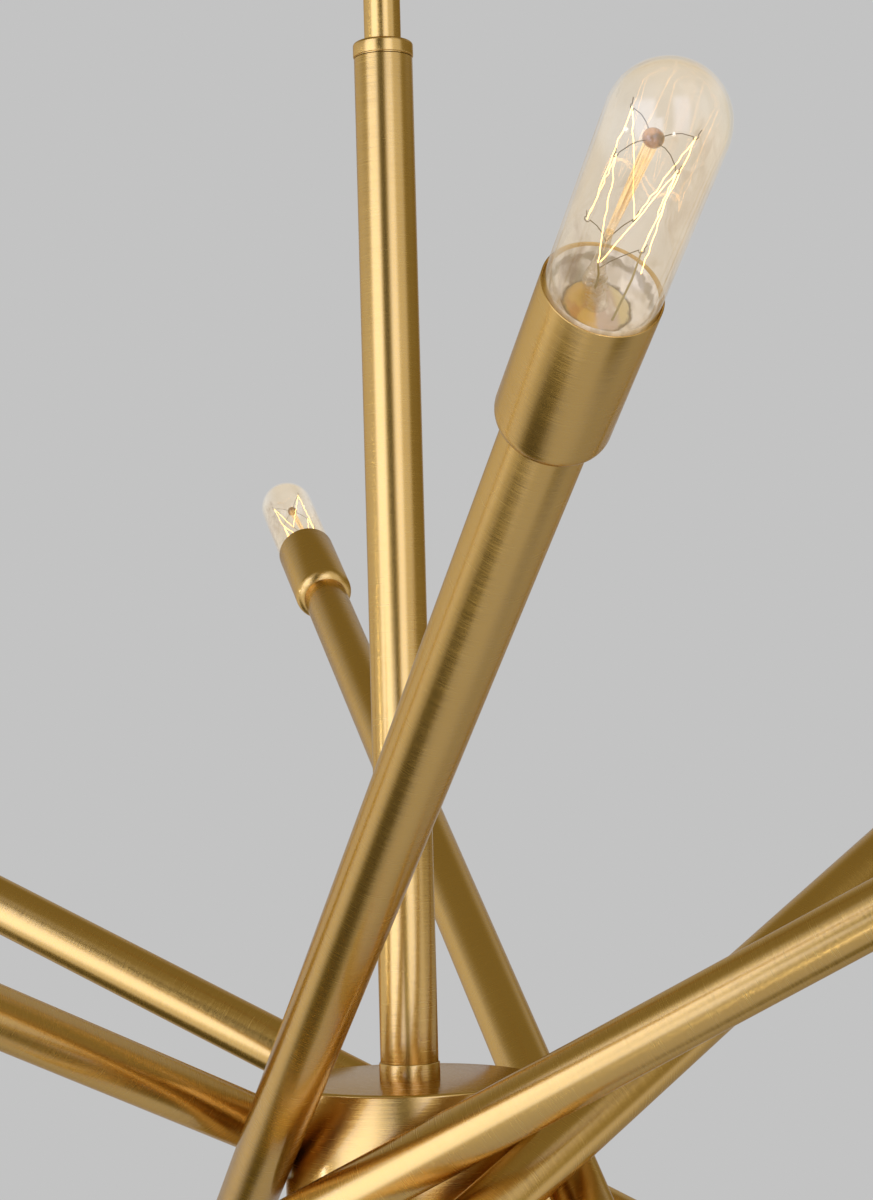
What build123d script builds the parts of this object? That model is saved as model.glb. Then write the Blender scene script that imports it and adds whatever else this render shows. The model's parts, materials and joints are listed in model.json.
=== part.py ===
from build123d import *

import os
from math import cos, radians, sin, sqrt

# Fits, in millimetres
slip_clearance = 0.1
running_clearance = 0.08
axial_play = 0.3
cord_clearance = 0.3

# Ceiling strap and canopy
strap_length = 112.0
strap_width = 22.0
strap_thickness = 2.0
strap_corner_radius = 3.0
box_screw_spacing = 88.9
box_screw_hole = 4.8
strap_wire_hole = 18.0
canopy_diameter = 127.0
canopy_depth = 25.0
canopy_wall = 1.0
canopy_edge_radius = 4.0
stud_spacing = 64.0
stud_diameter = 4.0
stud_engagement = 6.0
knob_diameter = 10.0
knob_height = 10.0
knob_round = 3.5
ground_screw_offset = 16.0
ground_screw_diameter = 4.0
screw_head_diameter = 8.0
screw_head_height = 2.5

# Threaded tubes and their nuts
nipple_diameter = 9.7
nut_margin = 2.2
nut_thickness = 4.0
thread_past_nut = 2.0

# Swivel that lets the stem hang straight
yoke_diameter = 30.0
yoke_plate = 5.0
yoke_cheek = 6.0
yoke_cheek_radius = 9.0
flange_thickness = 3.0
tongue_thickness = 14.0
tongue_radius = 8.0
tongue_headroom = 1.0
tongue_drop = 14.0
swivel_collar_diameter = 20.0
swivel_collar_height = 12.0
swivel_pin_diameter = 6.0
spigot_length = 12.0

# Stem
stem_wall = 1.2
upper_stem_diameter = 15.9
upper_stem_length = 305.0
lower_stem_diameter = 25.4
lower_stem_length = 443.4
top_ring_lip = 0.6
top_ring_height = 6.1
top_ring_chamfer = 1.2
top_ring_seat = 12.0
groove_height = 0.6
groove_depth = 0.3
foot_collar_wall = 0.5
foot_collar_height = 7.4
foot_floor = 2.0

# Hub
hub_diameter = 110.6
hub_height = 70.4
hub_wall = 1.5
hub_edge_radius = 1.2
cover_thickness = 2.0
cover_lip_height = 4.0
cover_lip_wall = 1.5
hub_rod_diameter = 12.7
hub_rod_engagement = 12.0
finial_diameter = 22.0
finial_height = 16.0
finial_round = 6.0
finial_engagement = 9.0
terminal_ring_diameter = 40.0
terminal_ring_height = 14.0

# Arms: each passes the hub on its own tangent, at its own rise
arm_diameter = 25.4
arm_wall = 1.2
arm_length = 488.8
arm_tail = 150.0
arm_standoff = 0.3
arm_rises = (33.1, 28.0, 24.6, 33.4, 26.3, 23.7)
first_arm_heading = -74.6
bolt_reach = 3.0
tail_cap_thickness = 2.0
tail_cap_edge = 0.8
plug_length = 12.0

# Socket cup and lampholder
cup_length = 55.6
cup_wall = 0.5
cup_floor = 1.5
cup_shoulder_radius = 6.0
holder_wall = 1.6
holder_floor = 4.8
nipple_engagement = 4.0
shell_wall = 0.4
shell_setback = 1.0
contact_diameter = 8.0
contact_height = 3.6

# Bulb
bulb_diameter = 31.75
bulb_reach = 73.0
bulb_clearance = 0.325
glass_wall = 0.8
glass_shoulder_height = 12.6
base_diameter = 26.0
base_length = 28.0
base_wall = 0.6
base_skirt = 3.0
base_tip_diameter = 9.0
base_tip_height = 2.0
base_cone_height = 4.0
neck_diameter = 24.8
stem_seal_gap = 0.3
flare_lift = 0.6
flare_height = 10.0
flare_wall = 1.0
press_tube_diameter = 8.0
press_tube_length = 10.0
press_height = 4.0
press_top_diameter = 5.0
glass_rod_diameter = 2.6
button_diameter = 5.6
button_drop = 21.6

# Filament cage
upper_hooks = 4
lower_hooks = 5
upper_hook_circle = 23.6
lower_hook_circle = 20.0
lower_hook_height = 11.0
wire_diameter = 0.6
hook_diameter = 1.0
wire_gap = 0.1

# Cords
cord_diameter = 4.4
cord_bend_radius = 8.0

# Radii and heights that follow from the sizes above
cord_radius = cord_diameter / 2
cord_bore = cord_radius + cord_clearance
nipple_radius = nipple_diameter / 2
stud_radius = stud_diameter / 2
canopy_radius = canopy_diameter / 2
upper_stem_radius = upper_stem_diameter / 2
lower_stem_radius = lower_stem_diameter / 2
hub_radius = hub_diameter / 2
hub_inner = hub_radius - hub_wall
hub_rod_radius = hub_rod_diameter / 2
terminal_radius = terminal_ring_diameter / 2
arm_radius = arm_diameter / 2
arm_inner = arm_radius - arm_wall
arm_offset = hub_radius + arm_standoff + arm_radius

slot_half = tongue_thickness / 2 + axial_play
flange_radius = slot_half - axial_play
yoke_half = slot_half + yoke_cheek
yoke_top = -canopy_depth - axial_play
plate_bottom = yoke_top - yoke_plate
flange_top = plate_bottom - axial_play
flange_bottom = flange_top - flange_thickness
pin_height = flange_bottom - tongue_headroom - tongue_radius
collar_top = pin_height - tongue_drop
collar_bottom = collar_top - swivel_collar_height
ring_top = collar_bottom - upper_stem_length
ring_bottom = ring_top - top_ring_height
hub_top = ring_bottom - lower_stem_length
hub_bottom = hub_top - hub_height
arm_height = hub_top - hub_height / 2

base_radius = base_diameter / 2
bulb_radius = bulb_diameter / 2
shell_inner = base_radius + running_clearance
shell_outer = shell_inner + shell_wall
holder_cavity = shell_outer + slip_clearance
holder_radius = holder_cavity + holder_wall
cup_inner = max(bulb_radius, holder_radius) + bulb_clearance
cup_outer = cup_inner + cup_wall
cup_inner_round = cup_shoulder_radius - cup_wall
holder_cavity_floor = cup_floor + holder_floor
base_bottom = holder_cavity_floor + contact_height + axial_play
base_top = base_bottom + base_length
holder_top = base_top - base_skirt
nipple_end = cup_floor + nipple_engagement

neck_radius = neck_diameter / 2
bulb_tip = cup_length + bulb_reach
dome_center = bulb_tip - bulb_radius
glass_shoulder_top = base_top + glass_shoulder_height
flare_radius = neck_radius - glass_wall - stem_seal_gap
flare_bottom = base_top + flare_lift
flare_top = flare_bottom + flare_height
press_bottom = flare_top + press_tube_length
press_top = press_bottom + press_height
button_height = bulb_tip - button_drop
lower_hook_level = press_top + lower_hook_height


# Directions and planes of the arms

def outward(number):
    """Level direction from the hub's axis to the point where an arm touches it."""
    heading = radians(first_arm_heading + 360 / len(arm_rises) * number)
    return Vector(sin(heading), -cos(heading), 0)


def along(number):
    """Direction of an arm from the hub towards its bulb."""
    heading = radians(first_arm_heading + 360 / len(arm_rises) * number)
    rise = radians(arm_rises[number])
    return Vector(cos(rise) * cos(heading), cos(rise) * sin(heading), sin(rise))


def arm_plane(number, distance=0.0):
    """Plane square to an arm, at a distance along it from its touching point."""
    touch = outward(number) * arm_offset + Vector(0, 0, arm_height)
    return Plane(touch + along(number) * distance, x_dir=outward(number), z_dir=along(number))


def spoke_plane(number, distance):
    """Upright plane square to the spoke from the hub's axis to an arm."""
    center = outward(number) * distance + Vector(0, 0, arm_height)
    return Plane(center, x_dir=(0, 0, 1), z_dir=outward(number))


arm_numbers = range(len(arm_rises))
arm_ends = [arm_plane(number, arm_length) for number in arm_numbers]

os.makedirs("parts", exist_ok=True)

# Ceiling strap: two holes for the outlet box's screws, one for the wires
with BuildPart() as mounting_strap:
    with BuildSketch(Plane.XY.offset(-strap_thickness)):
        RectangleRounded(strap_length, strap_width, strap_corner_radius)
        Circle(strap_wire_hole / 2, mode=Mode.SUBTRACT)
        with GridLocations(box_screw_spacing, 0, 2, 1):
            Circle(box_screw_hole / 2, mode=Mode.SUBTRACT)
        with GridLocations(stud_spacing, 0, 2, 1):
            Circle(stud_radius + slip_clearance, mode=Mode.SUBTRACT)
        with Locations((ground_screw_offset, 0)):
            Circle(ground_screw_diameter / 2 + slip_clearance, mode=Mode.SUBTRACT)
    extrude(amount=strap_thickness)
mounting_strap.part.label = "mounting_strap"
export_step(mounting_strap.part, "parts/mounting_strap.step")

# Two studs that hang from the strap and carry the canopy
stud_length = canopy_depth + stud_engagement
with BuildPart() as canopy_studs:
    with BuildSketch(Plane.XY.offset(-stud_length)):
        with GridLocations(stud_spacing, 0, 2, 1):
            Circle(stud_radius)
    extrude(amount=stud_length)
canopy_studs.part.label = "canopy_studs"
export_step(canopy_studs.part, "parts/canopy_studs.step")

with BuildPart() as ground_screw:
    with BuildSketch(Plane.XY.offset(-strap_thickness)):
        with Locations((ground_screw_offset, 0)):
            Circle(ground_screw_diameter / 2)
    extrude(amount=strap_thickness)
    with BuildSketch(Plane.XY.offset(-strap_thickness)):
        with Locations((ground_screw_offset, 0)):
            Circle(screw_head_diameter / 2)
    extrude(amount=-screw_head_height)
ground_screw.part.label = "ground_screw"
export_step(ground_screw.part, "parts/ground_screw.step")

# Canopy: a shallow spun pan, open to the ceiling
with BuildPart() as canopy:
    with BuildSketch(Plane.XY.offset(-canopy_depth)):
        Circle(canopy_radius)
    extrude(amount=canopy_depth)
    fillet(canopy.edges().sort_by(Axis.Z)[0], canopy_edge_radius)
    offset(amount=-canopy_wall, openings=canopy.faces().sort_by(Axis.Z)[-1])
    with BuildSketch(Plane.XY.offset(-canopy_depth)):
        Circle(nipple_radius + slip_clearance)
        with GridLocations(stud_spacing, 0, 2, 1):
            Circle(stud_radius + slip_clearance)
    extrude(amount=canopy_wall, mode=Mode.SUBTRACT)
canopy.part.label = "canopy"
export_step(canopy.part, "parts/canopy.step")

# Domed knobs on the studs, under the canopy
with BuildPart() as canopy_knobs:
    with BuildSketch(Plane.XY.offset(-canopy_depth)):
        with GridLocations(stud_spacing, 0, 2, 1):
            Circle(knob_diameter / 2)
    extrude(amount=-knob_height)
    fillet(canopy_knobs.edges().group_by(Axis.Z)[0], knob_round)
    with BuildSketch(Plane.XY.offset(-canopy_depth)):
        with GridLocations(stud_spacing, 0, 2, 1):
            Circle(stud_radius + slip_clearance)
    extrude(amount=-stud_engagement - slip_clearance, mode=Mode.SUBTRACT)
canopy_knobs.part.label = "canopy_knobs"
export_step(canopy_knobs.part, "parts/canopy_knobs.step")

# Hollow nipple with a flange that carries the swivel yoke
canopy_floor = -canopy_depth + canopy_wall
nipple_top = canopy_floor + nut_thickness + thread_past_nut
with BuildPart() as swivel_nipple:
    with BuildSketch(Plane.XY.offset(flange_bottom)):
        Circle(flange_radius)
    extrude(amount=flange_thickness)
    with BuildSketch(Plane.XY.offset(flange_bottom)):
        Circle(nipple_radius)
    extrude(amount=nipple_top - flange_bottom)
    with BuildSketch(Plane.XY.offset(flange_bottom)):
        Circle(cord_bore)
    extrude(amount=nipple_top - flange_bottom, mode=Mode.SUBTRACT)
swivel_nipple.part.label = "swivel_nipple"
export_step(swivel_nipple.part, "parts/swivel_nipple.step")

with BuildPart() as nipple_locknut:
    with BuildSketch(Plane.XY.offset(canopy_floor)):
        RegularPolygon(nipple_radius + nut_margin, 6, major_radius=False)
        Circle(nipple_radius + slip_clearance, mode=Mode.SUBTRACT)
    extrude(amount=nut_thickness)
nipple_locknut.part.label = "nipple_locknut"
export_step(nipple_locknut.part, "parts/nipple_locknut.step")

# Yoke: a round plate that turns on the nipple, with two cheeks for the pin
with BuildPart() as swivel_yoke:
    with BuildSketch(Plane.XY.offset(yoke_top)):
        Circle(yoke_diameter / 2)
    extrude(amount=-yoke_plate)
    with BuildSketch(Plane.YZ.offset(slot_half)):
        with Locations((0, pin_height)):
            Circle(yoke_cheek_radius)
        with Locations((0, (plate_bottom + pin_height) / 2)):
            Rectangle(2 * yoke_cheek_radius, plate_bottom - pin_height)
    extrude(amount=yoke_cheek)
    mirror(about=Plane.YZ)
    with BuildSketch(Plane.XY.offset(yoke_top)):
        Circle(nipple_radius + running_clearance)
    extrude(amount=-yoke_plate, mode=Mode.SUBTRACT)
    with BuildSketch(Plane.YZ):
        with Locations((0, pin_height)):
            Circle(swivel_pin_diameter / 2 + slip_clearance)
    extrude(amount=yoke_half, both=True, mode=Mode.SUBTRACT)
swivel_yoke.part.label = "swivel_yoke"
export_step(swivel_yoke.part, "parts/swivel_yoke.step")

with BuildPart() as swivel_pin:
    with BuildSketch(Plane.YZ):
        with Locations((0, pin_height)):
            Circle(swivel_pin_diameter / 2)
    extrude(amount=yoke_half, both=True)
swivel_pin.part.label = "swivel_pin"
export_step(swivel_pin.part, "parts/swivel_pin.step")

# Tongue: hangs on the pin and carries the stem on its spigot
with BuildPart() as swivel_tongue:
    with BuildSketch(Plane.YZ):
        with Locations((0, pin_height)):
            Circle(tongue_radius)
        with Locations((0, (pin_height + collar_top) / 2)):
            Rectangle(2 * tongue_radius, tongue_drop)
    extrude(amount=tongue_thickness / 2, both=True)
    with BuildSketch(Plane.XY.offset(collar_bottom)):
        Circle(swivel_collar_diameter / 2)
    extrude(amount=swivel_collar_height)
    with BuildSketch(Plane.XY.offset(collar_bottom)):
        Circle(upper_stem_radius - stem_wall - slip_clearance)
    extrude(amount=-spigot_length)
    with BuildSketch(Plane.XY.offset(collar_bottom - spigot_length)):
        Circle(cord_bore)
    extrude(amount=spigot_length + swivel_collar_height, mode=Mode.SUBTRACT)
    with BuildSketch(Plane.YZ):
        with Locations((0, pin_height)):
            Circle(swivel_pin_diameter / 2 + running_clearance)
    extrude(amount=tongue_thickness, both=True, mode=Mode.SUBTRACT)
swivel_tongue.part.label = "swivel_tongue"
export_step(swivel_tongue.part, "parts/swivel_tongue.step")

# Upper stem: a thin tube between the swivel and the top ring
with BuildPart() as upper_stem:
    with BuildSketch(Plane.XY.offset(ring_top - top_ring_seat)):
        Circle(upper_stem_radius)
        Circle(upper_stem_radius - stem_wall, mode=Mode.SUBTRACT)
    extrude(amount=upper_stem_length + top_ring_seat)
upper_stem.part.label = "upper_stem"
export_step(upper_stem.part, "parts/upper_stem.step")

# Top ring: reduces the thick stem to the thin one, with a groove under its edge
lower_stem_top = ring_bottom - groove_height
with BuildPart() as stem_top_ring:
    with BuildSketch(Plane.XY.offset(ring_bottom)):
        Circle(lower_stem_radius + top_ring_lip)
    extrude(amount=top_ring_height)
    chamfer(stem_top_ring.edges().sort_by(Axis.Z)[-1], top_ring_chamfer)
    with BuildSketch(Plane.XY.offset(ring_bottom)):
        Circle(lower_stem_radius - groove_depth)
    extrude(amount=-groove_height)
    with BuildSketch(Plane.XY.offset(lower_stem_top)):
        Circle(lower_stem_radius - stem_wall - slip_clearance)
    extrude(amount=-spigot_length)
    with BuildSketch(Plane.XY.offset(ring_top)):
        Circle(upper_stem_radius + slip_clearance)
    extrude(amount=-top_ring_seat, mode=Mode.SUBTRACT)
    with BuildSketch(Plane.XY.offset(ring_top)):
        Circle(cord_bore)
    extrude(amount=lower_stem_top - spigot_length - ring_top, mode=Mode.SUBTRACT)
stem_top_ring.part.label = "stem_top_ring"
export_step(stem_top_ring.part, "parts/stem_top_ring.step")

# Lower stem: the thick tube that stands in the foot collar on the hub
foot_seat = hub_top + foot_floor
with BuildPart() as lower_stem:
    with BuildSketch(Plane.XY.offset(foot_seat)):
        Circle(lower_stem_radius)
        Circle(lower_stem_radius - stem_wall, mode=Mode.SUBTRACT)
    extrude(amount=lower_stem_top - foot_seat)
lower_stem.part.label = "lower_stem"
export_step(lower_stem.part, "parts/lower_stem.step")

with BuildPart() as stem_foot_collar:
    with BuildSketch(Plane.XY.offset(hub_top)):
        Circle(lower_stem_radius + slip_clearance + foot_collar_wall)
    extrude(amount=foot_collar_height)
    with BuildSketch(Plane.XY.offset(foot_seat)):
        Circle(lower_stem_radius + slip_clearance)
    extrude(amount=foot_collar_height, mode=Mode.SUBTRACT)
    with BuildSketch(Plane.XY.offset(foot_seat)):
        Circle(lower_stem_radius - stem_wall - slip_clearance)
    extrude(amount=hub_rod_engagement)
    with BuildSketch(Plane.XY.offset(hub_top)):
        Circle(hub_rod_radius + slip_clearance)
    extrude(amount=foot_floor + hub_rod_engagement, mode=Mode.SUBTRACT)
stem_foot_collar.part.label = "stem_foot_collar"
export_step(stem_foot_collar.part, "parts/stem_foot_collar.step")

# Hub drum: a spun cup with its flat side up and a hole for each arm's bolt
drum_bottom = hub_bottom + cover_thickness
with BuildPart() as hub_drum:
    with BuildSketch(Plane.XY.offset(drum_bottom)):
        Circle(hub_radius)
    extrude(amount=hub_top - drum_bottom)
    fillet(hub_drum.edges().sort_by(Axis.Z)[-1], hub_edge_radius)
    offset(amount=-hub_wall, openings=hub_drum.faces().sort_by(Axis.Z)[0])
    with BuildSketch(Plane.XY.offset(hub_top)):
        Circle(hub_rod_radius + slip_clearance)
    extrude(amount=-hub_wall, mode=Mode.SUBTRACT)
    for number in arm_numbers:
        with BuildSketch(spoke_plane(number, hub_inner / 2)):
            Circle(nipple_radius + slip_clearance)
        extrude(amount=hub_inner, mode=Mode.SUBTRACT)
hub_drum.part.label = "hub_drum"
export_step(hub_drum.part, "parts/hub_drum.step")

with BuildPart() as hub_bottom_cover:
    with BuildSketch(Plane.XY.offset(hub_bottom)):
        Circle(hub_radius)
    extrude(amount=cover_thickness)
    fillet(hub_bottom_cover.edges().sort_by(Axis.Z)[0], hub_edge_radius)
    with BuildSketch(Plane.XY.offset(drum_bottom)):
        Circle(hub_inner - slip_clearance)
        Circle(hub_inner - slip_clearance - cover_lip_wall, mode=Mode.SUBTRACT)
    extrude(amount=cover_lip_height)
    with BuildSketch(Plane.XY.offset(hub_bottom)):
        Circle(hub_rod_radius + slip_clearance)
    extrude(amount=cover_thickness, mode=Mode.SUBTRACT)
hub_bottom_cover.part.label = "hub_bottom_cover"
export_step(hub_bottom_cover.part, "parts/hub_bottom_cover.step")

# Hollow rod from the stem's foot down through the hub, with a window for the cord
rod_top = foot_seat + hub_rod_engagement
rod_bottom = hub_bottom - finial_engagement
with BuildPart() as hub_rod:
    with BuildSketch(Plane.XY.offset(rod_bottom)):
        Circle(hub_rod_radius)
        Circle(cord_bore, mode=Mode.SUBTRACT)
    extrude(amount=rod_top - rod_bottom)
    with BuildSketch(Plane((0, 0, arm_height), z_dir=(1, 0, 0))):
        Circle(cord_bore)
    extrude(amount=hub_rod_diameter, mode=Mode.SUBTRACT)
hub_rod.part.label = "hub_rod"
export_step(hub_rod.part, "parts/hub_rod.step")

with BuildPart() as hub_locknut:
    with BuildSketch(Plane.XY.offset(hub_top - hub_wall)):
        RegularPolygon(hub_rod_radius + nut_margin, 6, major_radius=False)
        Circle(hub_rod_radius + slip_clearance, mode=Mode.SUBTRACT)
    extrude(amount=-nut_thickness)
hub_locknut.part.label = "hub_locknut"
export_step(hub_locknut.part, "parts/hub_locknut.step")

# Finial: a domed nut that closes the hub from below
with BuildPart() as hub_finial:
    with BuildSketch(Plane.XY.offset(hub_bottom)):
        Circle(finial_diameter / 2)
    extrude(amount=-finial_height)
    fillet(hub_finial.edges().sort_by(Axis.Z)[0], finial_round)
    with BuildSketch(Plane.XY.offset(hub_bottom)):
        Circle(hub_rod_radius + slip_clearance)
    extrude(amount=-finial_engagement - slip_clearance, mode=Mode.SUBTRACT)
hub_finial.part.label = "hub_finial"
export_step(hub_finial.part, "parts/hub_finial.step")

# Terminal ring on the rod, where the arms' cords meet the stem's cord
with BuildPart() as terminal_ring:
    with BuildSketch(Plane.XY.offset(arm_height - terminal_ring_height / 2)):
        Circle(terminal_radius)
        Circle(hub_rod_radius + slip_clearance, mode=Mode.SUBTRACT)
    extrude(amount=terminal_ring_height)
terminal_ring.part.label = "terminal_ring"
export_step(terminal_ring.part, "parts/terminal_ring.step")

# Arm tubes, each with a hole on the hub's side
for number in arm_numbers:
    with BuildPart() as arm:
        with BuildSketch(arm_plane(number, -arm_tail)):
            Circle(arm_radius)
            Circle(arm_inner, mode=Mode.SUBTRACT)
        extrude(amount=arm_tail + arm_length)
        with BuildSketch(spoke_plane(number, arm_offset)):
            Circle(nipple_radius + slip_clearance)
        extrude(amount=-arm_diameter, mode=Mode.SUBTRACT)
    arm.part.label = f"arm_{number + 1}"
    export_step(arm.part, f"parts/arm_{number + 1}.step")

# Hollow bolts that hold the arms to the hub, and their nuts inside it
bolt_nut_corner = (nipple_radius + nut_margin) / cos(radians(30))
bolt_nut_seat = sqrt(hub_inner**2 - bolt_nut_corner**2) - slip_clearance
bolt_start = bolt_nut_seat - nut_thickness - thread_past_nut
bolt_end = arm_offset - arm_inner + bolt_reach
with BuildPart() as arm_bolts:
    for number in arm_numbers:
        with BuildSketch(spoke_plane(number, bolt_start)):
            Circle(nipple_radius)
            Circle(cord_bore, mode=Mode.SUBTRACT)
        extrude(amount=bolt_end - bolt_start)
arm_bolts.part.label = "arm_bolts"
export_step(arm_bolts.part, "parts/arm_bolts.step")

with BuildPart() as arm_bolt_nuts:
    for number in arm_numbers:
        with BuildSketch(spoke_plane(number, bolt_nut_seat)):
            RegularPolygon(nipple_radius + nut_margin, 6, major_radius=False)
            Circle(nipple_radius + slip_clearance, mode=Mode.SUBTRACT)
        extrude(amount=-nut_thickness)
arm_bolt_nuts.part.label = "arm_bolt_nuts"
export_step(arm_bolt_nuts.part, "parts/arm_bolt_nuts.step")

# Caps that close the arms' lower ends
with BuildPart() as arm_tail_caps:
    for number in arm_numbers:
        with BuildSketch(arm_plane(number, -arm_tail)):
            Circle(arm_radius)
        cap_disc = extrude(amount=-tail_cap_thickness)
        fillet(cap_disc.edges().sort_by(Axis(cap_disc.center(), along(number)))[0], tail_cap_edge)
        with BuildSketch(arm_plane(number, -arm_tail)):
            Circle(arm_inner - slip_clearance)
        extrude(amount=spigot_length)
arm_tail_caps.part.label = "arm_tail_caps"
export_step(arm_tail_caps.part, "parts/arm_tail_caps.step")

# Plugs in the arms' upper ends, bored for the nipples that hold the cups
with BuildPart() as arm_end_plugs:
    for end in arm_ends:
        with BuildSketch(end):
            Circle(arm_inner - slip_clearance)
            Circle(nipple_radius + slip_clearance, mode=Mode.SUBTRACT)
        extrude(amount=-plug_length)
arm_end_plugs.part.label = "arm_end_plugs"
export_step(arm_end_plugs.part, "parts/arm_end_plugs.step")

with BuildPart() as cup_nipples:
    for number in arm_numbers:
        with BuildSketch(arm_plane(number, arm_length - plug_length)):
            Circle(nipple_radius)
            Circle(cord_bore, mode=Mode.SUBTRACT)
        extrude(amount=plug_length + nipple_end)
cup_nipples.part.label = "cup_nipples"
export_step(cup_nipples.part, "parts/cup_nipples.step")

# Cords: one from the terminal ring through each arm, one up the stem
with BuildPart() as lamp_cords:
    for number in arm_numbers:
        start = outward(number) * (terminal_radius + wire_gap) + Vector(0, 0, arm_height)
        with BuildLine() as route:
            FilletPolyline(
                start,
                arm_plane(number).origin,
                arm_plane(number, arm_length + nipple_end).origin,
                radius=cord_bend_radius,
            )
        with BuildSketch(Plane(start, z_dir=outward(number))):
            Circle(cord_radius)
        sweep(path=route.wires()[0])
    with BuildSketch(Plane.XY.offset(arm_height)):
        Circle(cord_radius)
    extrude(amount=collar_top - arm_height)
lamp_cords.part.label = "lamp_cords"
export_step(lamp_cords.part, "parts/lamp_cords.step")

# Patterns of the pieces at an arm's end, standing on XY with the arm's axis as Z

# Cup: a deep drawn shell with a rounded shoulder
with BuildPart() as cup_pattern:
    with BuildSketch(Plane.XZ) as cup_section:
        with BuildLine():
            Polyline(
                (0, 0),
                (cup_outer, 0),
                (cup_outer, cup_length),
                (cup_inner, cup_length),
                (cup_inner, cup_floor),
                (0, cup_floor),
                close=True,
            )
        make_face()
        outer_corner = cup_section.vertices().group_by(Axis.Y)[0].sort_by(Axis.X)[-1]
        fillet(outer_corner, cup_shoulder_radius)
        inner_corner = cup_section.vertices().filter_by_position(
            Axis.Y, cup_floor - slip_clearance, cup_floor + slip_clearance
        ).sort_by(Axis.X)[-1]
        fillet(inner_corner, cup_inner_round)
    revolve(axis=Axis.Z)
    with BuildSketch():
        Circle(nipple_radius + slip_clearance)
    extrude(amount=cup_floor, mode=Mode.SUBTRACT)

# Lampholder body: an insulating sleeve with a thick floor on the nipple
with BuildPart() as holder_pattern:
    with BuildSketch(Plane.XY.offset(cup_floor)):
        Circle(holder_radius)
    extrude(amount=holder_top - cup_floor)
    chamfer(holder_pattern.edges().sort_by(Axis.Z)[0], cup_inner_round)
    with BuildSketch(Plane.XY.offset(holder_cavity_floor)):
        Circle(holder_cavity)
    extrude(amount=holder_top, mode=Mode.SUBTRACT)
    with BuildSketch(Plane.XY.offset(cup_floor)):
        Circle(nipple_radius + slip_clearance)
    extrude(amount=nipple_engagement + slip_clearance, mode=Mode.SUBTRACT)

with BuildPart() as shell_pattern:
    with BuildSketch(Plane.XY.offset(holder_cavity_floor)):
        Circle(shell_outer)
        Circle(shell_inner, mode=Mode.SUBTRACT)
    extrude(amount=holder_top - shell_setback - holder_cavity_floor)

with BuildPart() as contact_pattern:
    with BuildSketch(Plane.XY.offset(holder_cavity_floor)):
        Circle(contact_diameter / 2)
    extrude(amount=contact_height)

# Bulb base: a contact tip, an insulator cone and a hollow screw shell
cone_top = base_bottom + base_tip_height + base_cone_height
with BuildPart() as base_pattern:
    with BuildSketch(Plane.XY.offset(base_bottom)):
        Circle(base_tip_diameter / 2)
    extrude(amount=base_tip_height)
    with BuildSketch(Plane.XY.offset(base_bottom + base_tip_height)):
        Circle(base_tip_diameter / 2)
    with BuildSketch(Plane.XY.offset(cone_top)):
        Circle(base_radius)
    loft()
    with BuildSketch(Plane.XY.offset(cone_top)):
        Circle(base_radius)
    extrude(amount=base_top - cone_top)
    with BuildSketch(Plane.XY.offset(cone_top)):
        Circle(base_radius - base_wall)
    extrude(amount=base_top - cone_top, mode=Mode.SUBTRACT)

# Bulb glass: a neck, a soft shoulder, a straight tube and a domed end
shoulder_middle = ((neck_radius + bulb_radius) / 2, (base_top + glass_shoulder_top) / 2)
with BuildPart() as glass_pattern:
    with BuildSketch(Plane.XZ):
        with BuildLine():
            lower_curve = TangentArc((neck_radius, base_top), shoulder_middle, tangent=(0, 1))
            upper_curve = TangentArc(
                shoulder_middle,
                (bulb_radius, glass_shoulder_top),
                tangent=lower_curve % 1,
            )
            Line(upper_curve @ 1, (bulb_radius, dome_center))
            RadiusArc((bulb_radius, dome_center), (0, bulb_tip), -bulb_radius)
            Line((0, bulb_tip), (0, base_top))
            Line((0, base_top), (neck_radius, base_top))
        make_face()
    revolve(axis=Axis.Z)
    offset(amount=-glass_wall, openings=glass_pattern.faces().sort_by(Axis.Z)[0])

# Glass stem: a flared foot sealed to the neck, a pinch, a rod and its button
with BuildPart() as stem_pattern:
    with BuildSketch(Plane.XZ):
        with BuildLine():
            Polyline(
                (flare_radius, flare_bottom),
                (press_tube_diameter / 2, flare_top),
                (press_tube_diameter / 2, press_bottom),
                (press_top_diameter / 2, press_top),
                (glass_rod_diameter / 2, press_top),
                (glass_rod_diameter / 2, button_height),
                (0, button_height),
                (0, press_bottom),
                (press_tube_diameter / 2 - flare_wall, press_bottom),
                (press_tube_diameter / 2 - flare_wall, flare_top),
                (flare_radius - flare_wall, flare_bottom),
                close=True,
            )
        make_face()
    revolve(axis=Axis.Z)
    with Locations((0, 0, button_height)):
        Sphere(button_diameter / 2)


def hook_point(index, count, circle, height):
    """Place of one hook on its circle, half a step on from the X axis."""
    turn = radians(360 * (index + 0.5) / count)
    return Vector(circle / 2 * cos(turn), circle / 2 * sin(turn), height)


def wire_plane(start, end):
    """Plane at the start of a straight wire, square to it."""
    return Plane(start, z_dir=end - start)


lower_points = [
    hook_point(index, lower_hooks, lower_hook_circle, lower_hook_level) for index in range(lower_hooks)
]
upper_points = [
    hook_point(index, upper_hooks, upper_hook_circle, button_height) for index in range(upper_hooks)
]

# The filament goes up and down from hook to hook, from one lead to the other
strands = []
for index in range(upper_hooks):
    strands.append((lower_points[index], upper_points[index]))
    strands.append((upper_points[index], lower_points[index + 1]))

# Supports reach from the button and the rod to the hooks
supports = []
for point in upper_points:
    inner = Vector(point.X, point.Y, 0).normalized() * (button_diameter / 2 + wire_gap)
    supports.append((inner + Vector(0, 0, point.Z), point))
for point in lower_points[1:-1]:
    inner = Vector(point.X, point.Y, 0).normalized() * (glass_rod_diameter / 2 + wire_gap)
    supports.append((inner + Vector(0, 0, point.Z), point))

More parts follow.
